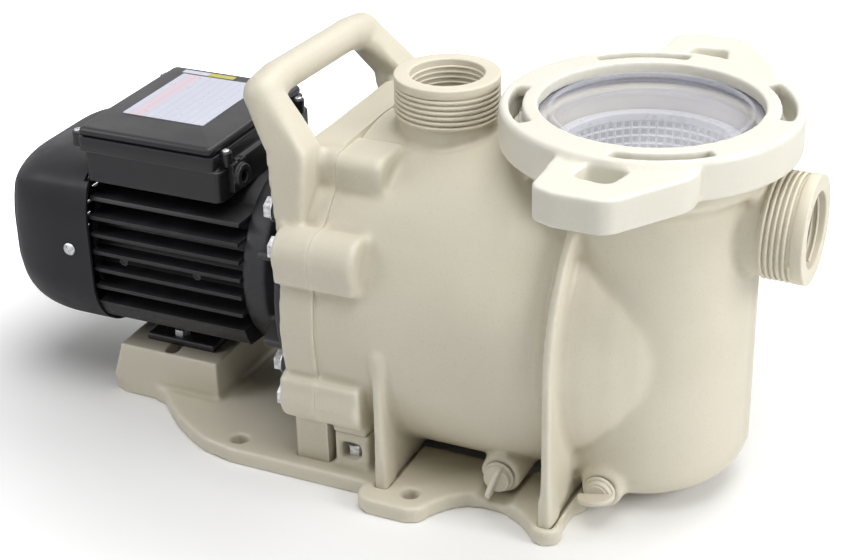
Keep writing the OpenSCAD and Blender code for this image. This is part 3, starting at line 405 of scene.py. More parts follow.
BLACK_PLASTIC = moulded_plastic("black_plastic", (30, 30, 33), (26, 26, 29), (20, 20, 22),
                                (54, 54, 58), (50, 48, 46), 0.3, 0.3, 0.35, 0.5)
RUBBER = moulded_plastic("black_rubber", (28, 28, 29), (33, 33, 34), (20, 20, 20),
                         (44, 44, 44), (58, 56, 52), 0.3, 0.5, 0.6, 0.8)
CERAMIC = moulded_plastic("seal_ceramic", (226, 224, 216), (222, 220, 212), (200, 198, 190),
                          (240, 238, 232), (190, 188, 180), 0.1, 0.05, 0.15, 0.25)
FIN_BLACK = finished("black_fin_paint", paint_group, {
    "Paint": srgb(20, 19, 22), "Dusty": srgb(48, 46, 50), "Grain": 0.5})
BELL_GREY = finished("grey_casting_paint", paint_group, {
    "Paint": srgb(36, 35, 39), "Dusty": srgb(56, 54, 56), "Grain": 0.45})
ZINC = finished("zinc_plate_bright", zinc_group, {
    "Bright": srgb(222, 223, 226), "Haze": srgb(170, 170, 172), "Crystal Size": 900.0}, Metallic=1.0)
STEEL = finished("ground_steel", zinc_group, {
    "Bright": srgb(190, 190, 192), "Haze": srgb(140, 140, 144), "Crystal Size": 2500.0}, Metallic=1.0)
BRASS = finished("turned_brass", zinc_group, {
    "Bright": srgb(205, 170, 96), "Haze": srgb(160, 126, 62), "Crystal Size": 2500.0}, Metallic=1.0)
COPPER = finished("varnished_copper", zinc_group, {
    "Bright": srgb(190, 112, 72), "Haze": srgb(140, 74, 44), "Crystal Size": 500.0}, Metallic=1.0)
print("materials so far:", len(bpy.data.materials))

# %% [markdown]
# The lid is clear polycarbonate with a cool tint and the fine haze of a used one. The basket
# under it is milky polypropylene.

# %% Clear lid and milky basket


def patchy(tree, where, size, low, high):
    """A value that drifts between two levels in soft patches."""
    return ramp_between(tree, (noise(tree, where, size, 3.0), 0), 0.35, 0.7, low, high)


def clear_plastic():
    mat, tree, shader = new_finish("clear_lid_plastic")
    shader.inputs["IOR"].default_value = 1.5
    where = place_on_piece(tree)
    cloud = noise(tree, where, 60.0)
    tint = mix_colour(tree, (cloud, 0), srgb(236, 236, 246), srgb(226, 227, 240))
    scuff = patchy(tree, where, 14.0, 0.04, 0.1)
    haze = ramp_between(tree, (cloud, 0), 0.3, 0.7, 0.2, 0.27)
    feed(tree, shader, Base_Color=(tint, 2), Roughness=(scuff, 0), Alpha=(haze, 0))
    return mat


def milky_plastic():
    mat, tree, shader = new_finish("milky_basket_plastic")
    shader.inputs["Transmission Weight"].default_value = 0.15
    shader.inputs["IOR"].default_value = 1.45
    where = place_on_piece(tree)
    tint = mix_colour(tree, (noise(tree, where, 25.0), 0), srgb(246, 246, 248), srgb(236, 236, 242))
    haze = patchy(tree, where, 8.0, 0.25, 0.4)
    feed(tree, shader, Base_Color=(tint, 2), Roughness=(haze, 0))
    return mat


CLEAR = clear_plastic()
MILKY = milky_plastic()
print("finishes:", CLEAR.name, MILKY.name)

# %% [markdown]
# ## From CAD solids to mouldings
# The CAD nodes have the right sizes but knife-sharp edges. A moulded part has small radii
# everywhere, outside and in. A voxel remesh rebuilds a copy as one even skin, and a few rounds
# of smoothing turn each edge into a radius. Each finished skin also gets an "edge" attribute,
# above zero on ridges and below zero in corners, which the materials read.

# %% Mesh helpers


def mesh_of(bm, name):
    """The work mesh as a mesh of this name."""
    mesh = bpy.data.meshes.new(name)
    bm.to_mesh(mesh)
    bm.free()
    return mesh


def smooth(obj, angle=None):
    """Shades a piece smooth, with its edges sharp past this angle."""
    obj.data.shade_smooth()
    if angle is not None:
        obj.data.set_sharp_from_angle(angle=math.radians(angle))


def collect(name, meshes, material=None, angle=None):
    """One object from several meshes, merged and with faces pointing outwards."""
    bm = bmesh.new()
    for mesh in meshes:
        bm.from_mesh(mesh)
    bmesh.ops.remove_doubles(bm, verts=bm.verts, dist=1e-7)
    bmesh.ops.recalc_face_normals(bm, faces=bm.faces)
    obj = add_object(name, mesh_of(bm, name))
    smooth(obj, angle)
    if material is not None:
        obj.data.materials.clear()
        obj.data.materials.append(material)
    return obj


SHOWN, REPLACED = {}, set()


def stands_for(obj, body, *nodes):
    """Fixes a finished piece to its body, in place of the CAD nodes that it dresses."""
    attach(obj, body)
    if nodes:
        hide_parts(*nodes)
        REPLACED.update(nodes)
    SHOWN[obj.name] = obj
    return obj


def solid_copy(name, node_name):
    """A merged copy of a CAD node's mesh, as an object of its own."""
    bm = bmesh.new()
    bm.from_mesh(NODES[node_name].data)
    bmesh.ops.remove_doubles(bm, verts=bm.verts, dist=2e-7)
    mesh = mesh_of(bm, name)
    mesh.materials.clear()
    return add_object(name, mesh)


def plain_mesh(obj):
    """The mesh that an object's modifiers make."""
    return bpy.data.meshes.new_from_object(obj.evaluated_get(bpy.context.evaluated_depsgraph_get()))


def bake_modifiers(obj):
    """Turns a piece's modifiers into plain mesh."""
    made, before = plain_mesh(obj), obj.data
    obj.modifiers.clear()
    obj.data = made
    made.name = obj.name
    bpy.data.meshes.remove(before)


def mark_edges(obj, spread=3, gain=6.0):
    """Writes how convex the skin is at each vertex into the attribute "edge"."""
    mesh = obj.data
    count = len(mesh.vertices)
    co = np.empty(count * 3)
    no = np.empty(count * 3)
    mesh.vertices.foreach_get("co", co)
    mesh.vertices.foreach_get("normal", no)
    co, no = co.reshape(-1, 3), no.reshape(-1, 3)
    pairs = np.empty(len(mesh.edges) * 2, dtype=np.int64)
    mesh.edges.foreach_get("vertices", pairs)
    a, b = pairs.reshape(-1, 2).T
    step = co[b] - co[a]
    length = np.linalg.norm(step, axis=1) + 1e-12
    bend = np.zeros(count)
    near = np.zeros(count)
    np.add.at(bend, a, -(step * no[a]).sum(1) / length)
    np.add.at(bend, b, (step * no[b]).sum(1) / length)
    np.add.at(near, a, 1)
    np.add.at(near, b, 1)
    near = np.maximum(near, 1)
    bend = bend / near
    for _ in range(spread):
        total = bend.copy()
        np.add.at(total, a, bend[b])
        np.add.at(total, b, bend[a])
        bend = total / (near + 1)
    layer = mesh.attributes.new("edge", "FLOAT", "POINT")
    layer.data.foreach_set("value", np.clip(bend * gain, -1, 1))


def block(x0, x1, y0, y1, z0, z1):
    """A plain block between two corners, in millimetres."""
    bm = bmesh.new()
    bmesh.ops.create_cube(bm, size=1.0)
    bm.transform(Matrix.Translation(Vector(((x0 + x1) / 2, (y0 + y1) / 2, (z0 + z1) / 2)) * MM) @
                 Matrix.Diagonal(Vector((abs(x1 - x0), abs(y1 - y0), abs(z1 - z0))) * MM).to_4x4())
    return mesh_of(bm, "block")


def cut_with(obj, cutter_mesh):
    """Takes a block out of a piece, and lets the cutter go."""
    cutter = add_object("cutter", cutter_mesh)
    cut = obj.modifiers.new("cut", "BOOLEAN")
    cut.operation, cut.solver, cut.object = "DIFFERENCE", "EXACT", cutter
    bake_modifiers(obj)
    bpy.data.objects.remove(cutter)


# %% [markdown]
# Body and bracket meet at x = 0. A remesh would round both away from each other there and leave
# a groove, but the real joint is a hairline. So each of the two is first drawn out past the
# joint, cast, and then cut off square just short of it.

# %% Casting a CAD node
# how far short of the joint a casting ends, how far it is drawn past it, and the cutter's reach
JOINT_GAP, JOINT_REACH, JOINT_CUT = 0.1, 8.0, 40.0
CUT_HALF, CUT_TOP = 140.0, 300.0
ON_JOINT = 0.3


def reach_past_joint(mesh, side):
    """Draws the joint face of a piece out past the joint."""
    for v in mesh.vertices:
        if abs(v.co.x) < ON_JOINT * MM:
            v.co.x = -JOINT_REACH * side * MM


def moulded(name, node_name, voxel, rounds, material, before=None, joint_side=0):
    """A CAD node recast as a moulding with rounded edges. "before" reshapes the copy first, and
    joint_side is 1 or -1 for a piece that lies in front of the joint or behind it."""
    obj = solid_copy(name, node_name)
    if before is not None:
        before(obj.data)
    if joint_side:
        reach_past_joint(obj.data, joint_side)
    cast = obj.modifiers.new("cast", "REMESH")
    cast.mode, cast.voxel_size, cast.use_smooth_shade = "VOXEL", voxel * MM, True
    soften = obj.modifiers.new("soften", "SMOOTH")
    soften.factor, soften.iterations = 0.5, rounds
    bake_modifiers(obj)
    if joint_side:
        cut_off = sorted((JOINT_GAP * joint_side, -JOINT_CUT * joint_side))
        cut_with(obj, block(*cut_off, -CUT_HALF, CUT_HALF, 0, CUT_TOP))
    mark_edges(obj)
    obj.data.materials.append(material)
    smooth(obj, 60 if joint_side else None)
    stands_for(obj, BODY_OF[node_name], node_name)
    print(name, "triangles:", sum(len(p.vertices) - 2 for p in obj.data.polygons))


# %% [markdown]
# ### The wet end
# The body, bracket, base plate and lock ring are thick mouldings, so a voxel of about 2 mm
# holds them. The two union threads are far finer than that, so the cast skin is first drawn in
# to the thread's root there, and the threads are made separately in the next step.

# %% Shapes to change before the wet end is cast
# where both unions stand, and their length
OUTLET_X, OUTLET_TOP, UNION_LEN = 50.0, 281.0, 31.0
INLET_FACE, INLET_Z = 314.0, 207.5
# radii of a union: over the crests, at the thread's root and of the bore
UNION_R, ROOT_R, PORT_R = 37.5, 35.2, 26.2
CREST_FROM, FACE_BACK_BY = 35.6, 4.0
# the handle sinks from this height up, and more towards its far end
HANDLE_SETTLE, SETTLE_FROM, SETTLE_OVER = 4.5, 235.0, 30.0
SETTLE_NEAR_Y, SETTLE_SPAN = -60.0, 90.0
WEB_BACK, WEB_HALF, WEB_LOW, WEB_TOP = -27.5, 60.0, 222.0, 243.0
LUG_REACH, LUG_TOP_Z, LUG_EASE = 91.0, 256.0, 0.9


def draw_in_threads(mesh):
    """Moves the union crests in, so that the separate thread has room around the core."""
    for v in mesh.vertices:
        x, y, z = (c / MM for c in v.co)
        if z > OUTLET_TOP - UNION_LEN - 1:
            r = math.hypot(x - OUTLET_X, y)
            if CREST_FROM < r < UNION_R + 0.5:
                v.co.x = (OUTLET_X + (x - OUTLET_X) * ROOT_R / r) * MM
                v.co.y = y * ROOT_R / r * MM
            if r < UNION_R + 0.5 and z > OUTLET_TOP - 2:
                v.co.z = (OUTLET_TOP - FACE_BACK_BY) * MM
        if x > INLET_FACE - UNION_LEN - 1:
            r = math.hypot(z - INLET_Z, y)
            if CREST_FROM < r < UNION_R + 0.5:
                v.co.z = (INLET_Z + (z - INLET_Z) * ROOT_R / r) * MM
                v.co.y = y * ROOT_R / r * MM
            if x > INLET_FACE - 2:
                v.co.x = (INLET_FACE - FACE_BACK_BY) * MM


def settle_handle(mesh):
    """Sets the far shoulder of the handle a little lower, and closes the foot of its window with
    a level web, both as in the picture."""
    for v in mesh.vertices:
        x, y, z = (c / MM for c in v.co)
        if z > SETTLE_FROM:
            far_share = min(1, max(0, (y - SETTLE_NEAR_Y) / SETTLE_SPAN))
            v.co.z -= HANDLE_SETTLE * MM * min(1, (z - SETTLE_FROM) / SETTLE_OVER) * far_share
    bm = bmesh.new()
    bm.from_mesh(mesh)
    bm.from_mesh(block(WEB_BACK, 0, -WEB_HALF, WEB_HALF, WEB_LOW, WEB_TOP))
    bm.to_mesh(mesh)
    bm.free()


def ease_lugs(mesh):
    """Lowers the tops of the ring's inner lugs, so that they pass the body's tabs once rounded."""
    for v in mesh.vertices:
        x, y, z = (c / MM for c in v.co)
        if math.hypot(x - POT_X, y) < LUG_REACH and abs(z - LUG_TOP_Z) < 2:
            v.co.z -= LUG_EASE * MM


# %% Cast the wet end
moulded("body_moulding", "pump_body", voxel=2.5, rounds=6, material=BEIGE,
        before=draw_in_threads, joint_side=1)
moulded("bracket_moulding", "bracket", voxel=2.1, rounds=7, material=BEIGE,
        before=settle_handle, joint_side=-1)
moulded("base_moulding", "base_plate", voxel=2.0, rounds=6, material=BEIGE)
moulded("ring_moulding", "lock_ring", voxel=1.5, rounds=8, material=IVORY, before=ease_lugs)

# %% [markdown]
# ### Turned shapes
# The unions, the lid and the basket are round, so they are spun from an outline of radius and
# height. The helper closes the outline and turns it about an upright axis.

# %% Lathe helper


def lathe(outline, steps):
    """A closed shell turned about Z from (radius, height) points in millimetres."""
    bm = bmesh.new()
    turns = [math.tau * k / steps for k in range(steps)]
    rings = []
    for r, z in outline:
        if r < 1e-6:
            rings.append([bm.verts.new((0, 0, z * MM))] * steps)
        else:
            rings.append([bm.verts.new((r * MM * math.cos(a), r * MM * math.sin(a), z * MM)) for a in turns])
    closed = outline[0][0] > 1e-6 or outline[-1][0] > 1e-6
    for i in range(len(rings) if closed else len(rings) - 1):
        one, two = rings[i], rings[(i + 1) % len(rings)]
        for k in range(steps):
            corners = []
            for v in (one[k], one[(k + 1) % steps], two[(k + 1) % steps], two[k]):
                if v not in corners:
                    corners.append(v)
            if len(corners) > 2:
                bm.faces.new(corners)
    bmesh.ops.recalc_face_normals(bm, faces=bm.faces)
    return mesh_of(bm, "turned")


def set_down(mesh, x=0.0, y=0.0, z=0.0, turn=None):
    """Puts a mesh in its place, in millimetres, after an optional turn."""
    if turn is not None:
        mesh.transform(turn)
    mesh.transform(Matrix.Translation(Vector((x, y, z)) * MM))
    return mesh


def round_corner(cx, cz, r, start, end, steps=6):
    """Points of an arc between two angles, for an outline."""
    angles = [math.radians(start + (end - start) * i / steps) for i in range(steps + 1)]
    return [(cx + r * math.cos(a), cz + r * math.sin(a)) for a in angles]


# %% [markdown]
# ### Union threads
# A thread is one ridge that follows a helix. Geometry Nodes make it from a Spiral curve and a
# small profile swept along it, with the pitch and the number of turns as inputs. The same tree
# makes the outer and the inner thread of both unions.

# %% Thread tree


def run_tree(name, tree, values, start_mesh=None):
    """Runs a tree on a new object with named values, and returns the plain mesh it makes."""
    obj = add_object(name, start_mesh or bpy.data.meshes.new(name))
    mod = obj.modifiers.new("make", "NODES")
    mod.node_group = tree
    sockets = {s.name: s.identifier for s in tree.interface.items_tree
               if s.item_type == "SOCKET" and s.in_out == "INPUT"}
    for key, value in values.items():
        mod[sockets[key]] = value
    made = plain_mesh(obj)
    bpy.data.objects.remove(obj)
    return made


def end_tree(tree, gin, gout, shape):
    """Ends a tree: instances made real, and given the material that is one of its inputs."""
    whole = node(tree, "GeometryNodeRealizeInstances", Geometry=(shape, 0))
    painted = node(tree, "GeometryNodeSetMaterial", Geometry=(whole, 0), Material=(gin, "Material"))
    feed(tree, gout, Geometry=(painted, 0))


SHAPE = [("Geometry", "Geometry")]
thread_tree, gin, gout = new_tree("thread_ridge", "GeometryNodeTree", [
    ("Radius", "Float"), ("Turns", "Float"), ("Height", "Float"), ("Ridge Radius", "Float"),
    ("Material", "Material")], SHAPE)
spiral = node(thread_tree, "GeometryNodeCurveSpiral", Resolution=96, Rotations=(gin, "Turns"),
              Start_Radius=(gin, "Radius"), End_Radius=(gin, "Radius"), Height=(gin, "Height"))
profile = node(thread_tree, "GeometryNodeCurvePrimitiveCircle", Resolution=10, Radius=(gin, "Ridge Radius"))
sweep = node(thread_tree, "GeometryNodeCurveToMesh", Curve=(spiral, 0), Profile_Curve=(profile, 0),
             Fill_Caps=True)
end_tree(thread_tree, gin, gout, sweep)
print("tree:", thread_tree.name)

# %% Both unions
PITCH = 3.85
OUTER_RIDGE, INNER_RIDGE = 1.3, 1.05
OUTLET_LEAD, INLET_LEAD = 6.3, 8.0


def thread(radius, length, ridge):
    """One ridge along a helix of this length, standing on z = 0."""
    return run_tree("thread", thread_tree, {
        "Radius": radius * MM, "Turns": length / PITCH, "Height": length * MM,
        "Ridge Radius": ridge * MM, "Material": THREAD})


def union_mesh(height, lead):
    """The threaded end of a port, upright, with its face at z = 0. Outer and inner thread."""
    shell = lathe(
        [(ROOT_R - 0.2, -height), (ROOT_R + 0.25, -height + 0.6), (ROOT_R + 0.25, -lead - 1.2),
         (UNION_R - 0.3, -lead), (UNION_R - 0.05, -lead + 0.4)] +
        round_corner(UNION_R - 1.25, -1.2, 1.2, 0, 90) + round_corner(PORT_R + 1.2, -1.2, 1.2, 90, 180) +
        [(PORT_R, -height), (PORT_R + 2, -height - 0.3)], 144)
    outer = set_down(thread(UNION_R - 1.35, height - lead - 3.0, OUTER_RIDGE), z=-height + 2.0)
    inner = set_down(thread(PORT_R + 0.15, height - 8.0, INNER_RIDGE), z=-height + 3.0)
    return [shell, outer, inner]


def union(name, lead, turn, x, y, z):
    """A finished union, in front of the port that it dresses."""
    obj = collect(name, [set_down(mesh, x, y, z, turn) for mesh in union_mesh(UNION_LEN, lead)], THREAD, 40)
    mark_edges(obj, spread=1, gain=2.5)
    return stands_for(obj, "pump", "pump_body")


outlet = union("outlet_union", OUTLET_LEAD, None, OUTLET_X, 0, OUTLET_TOP)
union("inlet_union", INLET_LEAD, Matrix.Rotation(math.radians(90), 4, "Y"), INLET_FACE, 0, INLET_Z)
print("unions: 2, faces on the outlet:", len(outlet.data.polygons))

# %% [markdown]
# ### Lid
# The lid is a shallow dome with a raised rim, turned in one piece. The seal under it and the
# ring above it stay where the CAD has them.

# %% Lid
RIM_Z, BALL = 264.0, 260.0
DOME_TOP, DOME_UNDER = 279.0, 274.0


def dome(r, top):
    """Height of the dome, a piece of a large ball, at this radius."""
    return top - (BALL - math.sqrt(BALL * BALL - r * r))


lid_low, lid_high = RIM_Z + 0.3, RIM_Z + 7.2
groove_top = lid_low + 4.4
over = [(r, dome(r, DOME_TOP)) for r in range(0, 65, 5)] + [(64.5, dome(64.5, DOME_TOP))]
bead = ([(65.0, 271.6), (65.2, 275.2)] + round_corner(66.6, 275.0, 1.0, 180, 90, 3) +
        round_corner(68.0, 274.9, 1.0, 90, 0, 3) + [(69.0, 271.8), (69.6, lid_high)])
skirt = (round_corner(87.0, lid_high - 1.0, 1.0, 90, 0, 3) +
         [(88.0, lid_low), (82.0, lid_low), (82.0, groove_top), (76.0, groove_top), (76.0, lid_low),
          (70.0, lid_low), (69.8, lid_low - 3.6), (66.0, lid_low - 4.0)])
under = [(60.5, dome(60.5, DOME_UNDER) - 0.4)] + [(r, dome(r, DOME_UNDER)) for r in range(55, -5, -5)]
lid = collect("clear_lid", [set_down(lathe(over + bead + skirt + under, 160), POT_X)], CLEAR, 30)
stands_for(lid, "lid", "strainer_lid")
print("lid:", len(lid.data.vertices), "vertices")

# %% [markdown]
# ### Basket
# The basket is a net of thin bars and hoops under a solid rim. One bar and one hoop are enough:
# Geometry Nodes repeat the bar round the wall and stack the hoops, each a little smaller than
# the one above.

# %% Basket net
net_tree, gin, gout = new_tree("basket_net", "GeometryNodeTree", [
    ("Bars", "Int"), ("Hoops", "Int"), ("Low Radius", "Float"), ("Top Radius", "Float"), ("Low", "Float"),
    ("Top", "Float"), ("Bar Radius", "Float"), ("Material", "Material")], SHAPE)
# one bar, leaning out from the low radius to the top radius
low_end = node(net_tree, "ShaderNodeCombineXYZ", X=(gin, "Low Radius"), Z=(gin, "Low"))
top_end = node(net_tree, "ShaderNodeCombineXYZ", X=(gin, "Top Radius"), Z=(gin, "Top"))
bar_line = node(net_tree, "GeometryNodeCurvePrimitiveLine", Start=(low_end, 0), End=(top_end, 0))
bar_round = node(net_tree, "GeometryNodeCurvePrimitiveCircle", Resolution=4, Radius=(gin, "Bar Radius"))
bar = node(net_tree, "GeometryNodeCurveToMesh", Curve=(bar_line, 0), Profile_Curve=(bar_round, 0),
           Fill_Caps=True)
# a point for each bar at the centre, turned step by step
at_centre = node(net_tree, "GeometryNodePoints", Count=(gin, "Bars"))
number = node(net_tree, "GeometryNodeInputIndex")
share = calc(net_tree, "DIVIDE", (number, 0), (gin, "Bars"))
angle = calc(net_tree, "MULTIPLY", (share, 0), math.tau)
turned_by = node(net_tree, "ShaderNodeCombineXYZ", Z=(angle, 0))
bars = node(net_tree, "GeometryNodeInstanceOnPoints", Points=(at_centre, 0), Instance=(bar, 0),
            Rotation=(turned_by, 0))
# hoops stacked on points, scaled to the wall's taper
last = calc(net_tree, "SUBTRACT", (gin, "Hoops"), 1.0)
climb = calc(net_tree, "DIVIDE", (number, 0), (last, 0))
level = ramp_between(net_tree, (climb, 0), 0.0, 1.0, (gin, "Low"), (gin, "Top"))
hoop_r = ramp_between(net_tree, (climb, 0), 0.0, 1.0, (gin, "Low Radius"), (gin, "Top Radius"))
hoop_at = node(net_tree, "ShaderNodeCombineXYZ", Z=(level, 0))
stack = node(net_tree, "GeometryNodePoints", Count=(gin, "Hoops"), Position=(hoop_at, 0))
hoop_scale = calc(net_tree, "DIVIDE", (hoop_r, 0), (gin, "Top Radius"))
hoop_grow = node(net_tree, "ShaderNodeCombineXYZ", X=(hoop_scale, 0), Y=(hoop_scale, 0), Z=1.0)
hoop_line = node(net_tree, "GeometryNodeCurvePrimitiveCircle", Resolution=84, Radius=(gin, "Top Radius"))
hoop = node(net_tree, "GeometryNodeCurveToMesh", Curve=(hoop_line, 0), Profile_Curve=(bar_round, 0))
hoops = node(net_tree, "GeometryNodeInstanceOnPoints", Points=(stack, 0), Instance=(hoop, 0),
             Scale=(hoop_grow, 0))
both = node(net_tree, "GeometryNodeJoinGeometry", in0=(bars, 0))
feed(net_tree, both, in0=(hoops, 0))
end_tree(net_tree, gin, gout, both)
print("tree:", net_tree.name)

# %% Basket
BASKET_TOP, BASKET_LOW = 248.0, 44.0
WALL_TOP_R, WALL_LOW_R, BAR_R = 63.2, 58.3, 1.15
RIM_DEEP, FLOOR_DEEP, FLOOR_THICK = 7.0, 8.0, 2.4
net = run_tree("basket_net", net_tree, {
    "Bars": 66, "Hoops": 34, "Low Radius": WALL_LOW_R * MM, "Top Radius": WALL_TOP_R * MM,
    "Low": (BASKET_LOW + 3) * MM, "Top": (BASKET_TOP - 6) * MM, "Bar Radius": BAR_R * MM, "Material": MILKY})
rim = lathe([(61.6, BASKET_TOP - 5.6), (63.0, BASKET_TOP - RIM_DEEP), (69.0, BASKET_TOP - RIM_DEEP)] +
            round_corner(68.2, BASKET_TOP - 0.8, 0.8, 0, 90, 3) +
            round_corner(62.2, BASKET_TOP - 0.8, 0.8, 90, 180, 3), 128)
floor_ring = lathe([(0, BASKET_LOW), (59.0, BASKET_LOW), (59.4, BASKET_LOW + FLOOR_DEEP),
                    (57.2, BASKET_LOW + FLOOR_DEEP), (56.8, BASKET_LOW + FLOOR_THICK),
                    (0, BASKET_LOW + FLOOR_THICK)], 96)
basket = collect("basket_moulding", [set_down(m, POT_X) for m in (net, rim, floor_ring)], MILKY, 40)
stands_for(basket, "basket", "basket")
print("basket:", len(basket.data.polygons), "faces")

# %% [markdown]
# ## The motor
# The fan cover is a moulded cap: a rounded square that runs straight along the fins and then
# curls in towards the air grille. It is drawn as a row of cross-sections, each a little smaller
# than the last, and the wall is that skin repeated 2.5 mm further in.

# %% Fan cover shell
COVER_FRONT, COVER_LEN, COVER_WALL = -212.0, 76.0, 2.5
COVER_BACK = COVER_FRONT - COVER_LEN
COVER_SIDE, COVER_TOP, COVER_LOW = 78.5, 71.0, 69.5
CORNER_R, CREASE = 48.0, 15.0
CURL_FROM, CURL_LEN, CURL_IN = -227.0, 43.0, 12.4
NOSE_FROM, NOSE_R, NOSE_IN = 11.2, 3.0, 3.2
GRILLE_R = 50.0
AROUND = 120


def bow(start, mid, end, u):
    """A point of the curve that leaves start towards mid and bends to end."""
    return tuple((1 - u) ** 2 * a + 2 * u * (1 - u) * b + u * u * c for a, b, c in zip(start, mid, end))


def bent_corner(half, high, r, steps):
    """Upper corner of the cover: nearly upright to a soft crease, then over to the top."""
    side_start = (half, high - r)
    top_end = (half - r, high)
    knee = (half - 5.5 * r / CORNER_R, high - CREASE)
    side_mid = (half, high - CREASE - (r - CREASE) * 0.45)
    top_mid = (knee[0] - 9 * r / CORNER_R, high - 0.5)
    pts = []
    for i in range(steps):
        t = i / (steps - 1)
        if t < 0.5:
            pts.append(bow(side_start, side_mid, knee, t / 0.5))
        else:
            pts.append(bow(knee, top_mid, top_end, (t - 0.5) / 0.5))
    return pts


def cover_section(inset, wall):
    """One closed cross-section of the cover, as (y, z above the shaft)."""
    half, high, low = COVER_SIDE - inset - wall, COVER_TOP - inset - wall, COVER_LOW - inset - wall
    r = CORNER_R - wall
    n = AROUND // 4
    turns = [math.radians(90 * i / (n - 1)) for i in range(n)]
    lower = [(half - r + r * math.cos(a), -low + r - r * math.sin(a)) for a in turns]
    right = bent_corner(half, high, r, n)[::-1] + lower
    return right + [(-y, z) for y, z in right[::-1]]


def cover_stations(wall):
    """x and inset of each section, from the open edge to the back."""
    rear = COVER_BACK + wall
    stations = [(COVER_FRONT, 0.0), (COVER_FRONT - 1.0, 0.0), (CURL_FROM, 0.0)]
    for i in range(15):
        t = math.radians(84 * i / 14)
        stations.append((rear + NOSE_R + CURL_LEN * (1 - math.sin(t)), CURL_IN * (1 - math.cos(t))))
    for a in (math.radians(a) for a in range(15, 91, 15)):
        stations.append((rear + NOSE_R * (1 - math.sin(a)), NOSE_FROM + NOSE_IN * (1 - math.cos(a))))
    return stations


def cover_skin(wall):
    """The sections in place, and three rings across the back that end round the grille."""
    rings = [[Vector((x, y, z + SHAFT_Z)) * MM for y, z in cover_section(inset, wall)]
             for x, inset in cover_stations(wall)]
    edge = [(p.y / MM, p.z / MM - SHAFT_Z) for p in rings[-1]]
    back = COVER_BACK + wall
    for share in (0.35, 0.7, 1.0):
        ring = []
        for y, z in edge:
            a = math.atan2(z, y)
            to_y, to_z = GRILLE_R * math.cos(a), GRILLE_R * math.sin(a)
            ring.append(Vector((back, y + (to_y - y) * share, z + (to_z - z) * share + SHAFT_Z)) * MM)
        rings.append(ring)
    return rings


def wall_between(bm, one, two):
    """A strip of faces between two closed rows of corners."""
    for k in range(len(one)):
        j = (k + 1) % len(one)
        bm.faces.new((one[k], one[j], two[j], two[k]))


def cover_shell():
    bm = bmesh.new()
    outer = [[bm.verts.new(p) for p in ring] for ring in cover_skin(0.0)]
    inner = [[bm.verts.new(p) for p in ring] for ring in cover_skin(COVER_WALL)]
    for skin in (outer, inner):
        for one, two in zip(skin, skin[1:]):
            wall_between(bm, one, two)
    wall_between(bm, outer[0], inner[0])
    wall_between(bm, outer[-1], inner[-1])
    bmesh.ops.recalc_face_normals(bm, faces=bm.faces)
    return mesh_of(bm, "cover_shell")


print("fan cover: sections of", len(cover_section(0.0, 0.0)), "points")

# %% [markdown]
# The grille is a stack of level bars with one upright behind them. The bars are one box
# repeated by Geometry Nodes on points down the opening, each scaled to the circle's width.

# %% Grille
grille_tree, gin, gout = new_tree("grille_bars", "GeometryNodeTree", [
    ("Bars", "Int"), ("Pitch", "Float"), ("Opening Radius", "Float"), ("Bar Height", "Float"),
    ("Bar Depth", "Float"), ("Material", "Material")], SHAPE)
number = node(grille_tree, "GeometryNodeInputIndex")
last = calc(grille_tree, "SUBTRACT", (gin, "Bars"), 1.0)
middle_one = calc(grille_tree, "MULTIPLY", (last, 0), 0.5)
step = calc(grille_tree, "SUBTRACT", (number, 0), (middle_one, 0))
height = calc(grille_tree, "MULTIPLY", (step, 0), (gin, "Pitch"))
bar_at = node(grille_tree, "ShaderNodeCombineXYZ", Z=(height, 0))
slots = node(grille_tree, "GeometryNodePoints", Count=(gin, "Bars"), Position=(bar_at, 0))
r_squared = calc(grille_tree, "MULTIPLY", (gin, "Opening Radius"), (gin, "Opening Radius"))
h_squared = calc(grille_tree, "MULTIPLY", (height, 0), (height, 0))
left_over = calc(grille_tree, "SUBTRACT", (r_squared, 0), (h_squared, 0))
half_chord = calc(grille_tree, "SQRT", (left_over, 0))
width = calc(grille_tree, "MULTIPLY_ADD", (half_chord, 0), 2.0, 0.003)
bar_size = node(grille_tree, "ShaderNodeCombineXYZ", X=(gin, "Bar Depth"), Y=(width, 0),
                Z=(gin, "Bar Height"))
unit_box = node(grille_tree, "GeometryNodeMeshCube", Size=(1.0, 1.0, 1.0))
bars = node(grille_tree, "GeometryNodeInstanceOnPoints", Points=(slots, 0), Instance=(unit_box, 0),
            Scale=(bar_size, 0))
end_tree(grille_tree, gin, gout, bars)
grille = run_tree("grille_bars", grille_tree, {
    "Bars": 10, "Pitch": 10 * MM, "Opening Radius": GRILLE_R * MM, "Bar Height": 7.7 * MM,
    "Bar Depth": COVER_WALL * MM, "Material": COVER_GREY})
set_down(grille, COVER_BACK + COVER_WALL / 2, 0, SHAFT_Z)
upright = block(COVER_BACK + COVER_WALL * 0.6, COVER_BACK + COVER_WALL * 2, -3, 3,
                SHAFT_Z - GRILLE_R - 2, SHAFT_Z + GRILLE_R + 2)
print("grille:", len(grille.polygons), "faces")

# %% [markdown]
# The terminal box reaches a little way over the cover, so the cover's front edge is notched for
# it, as the CAD solid is.

# %% Finished cover
BOX_NOTCH = (-216, -200, -71, 71, 182.3, 240)
cover = collect("fan_cover_shell", [cover_shell(), grille, upright], COVER_GREY, 38)
cut_with(cover, block(*BOX_NOTCH))
smooth(cover, 38)
mark_edges(cover, spread=1, gain=1.5)
stands_for(cover, "pump", "fan_cover")
print("fan cover:", len(cover.data.polygons), "faces")

# %% [markdown]
# ### Box, foot and bell
# The terminal box, its lid and the cord entry are thinner mouldings, so they get a finer voxel.
# The end bell and the motor foot are castings and take the paint material.

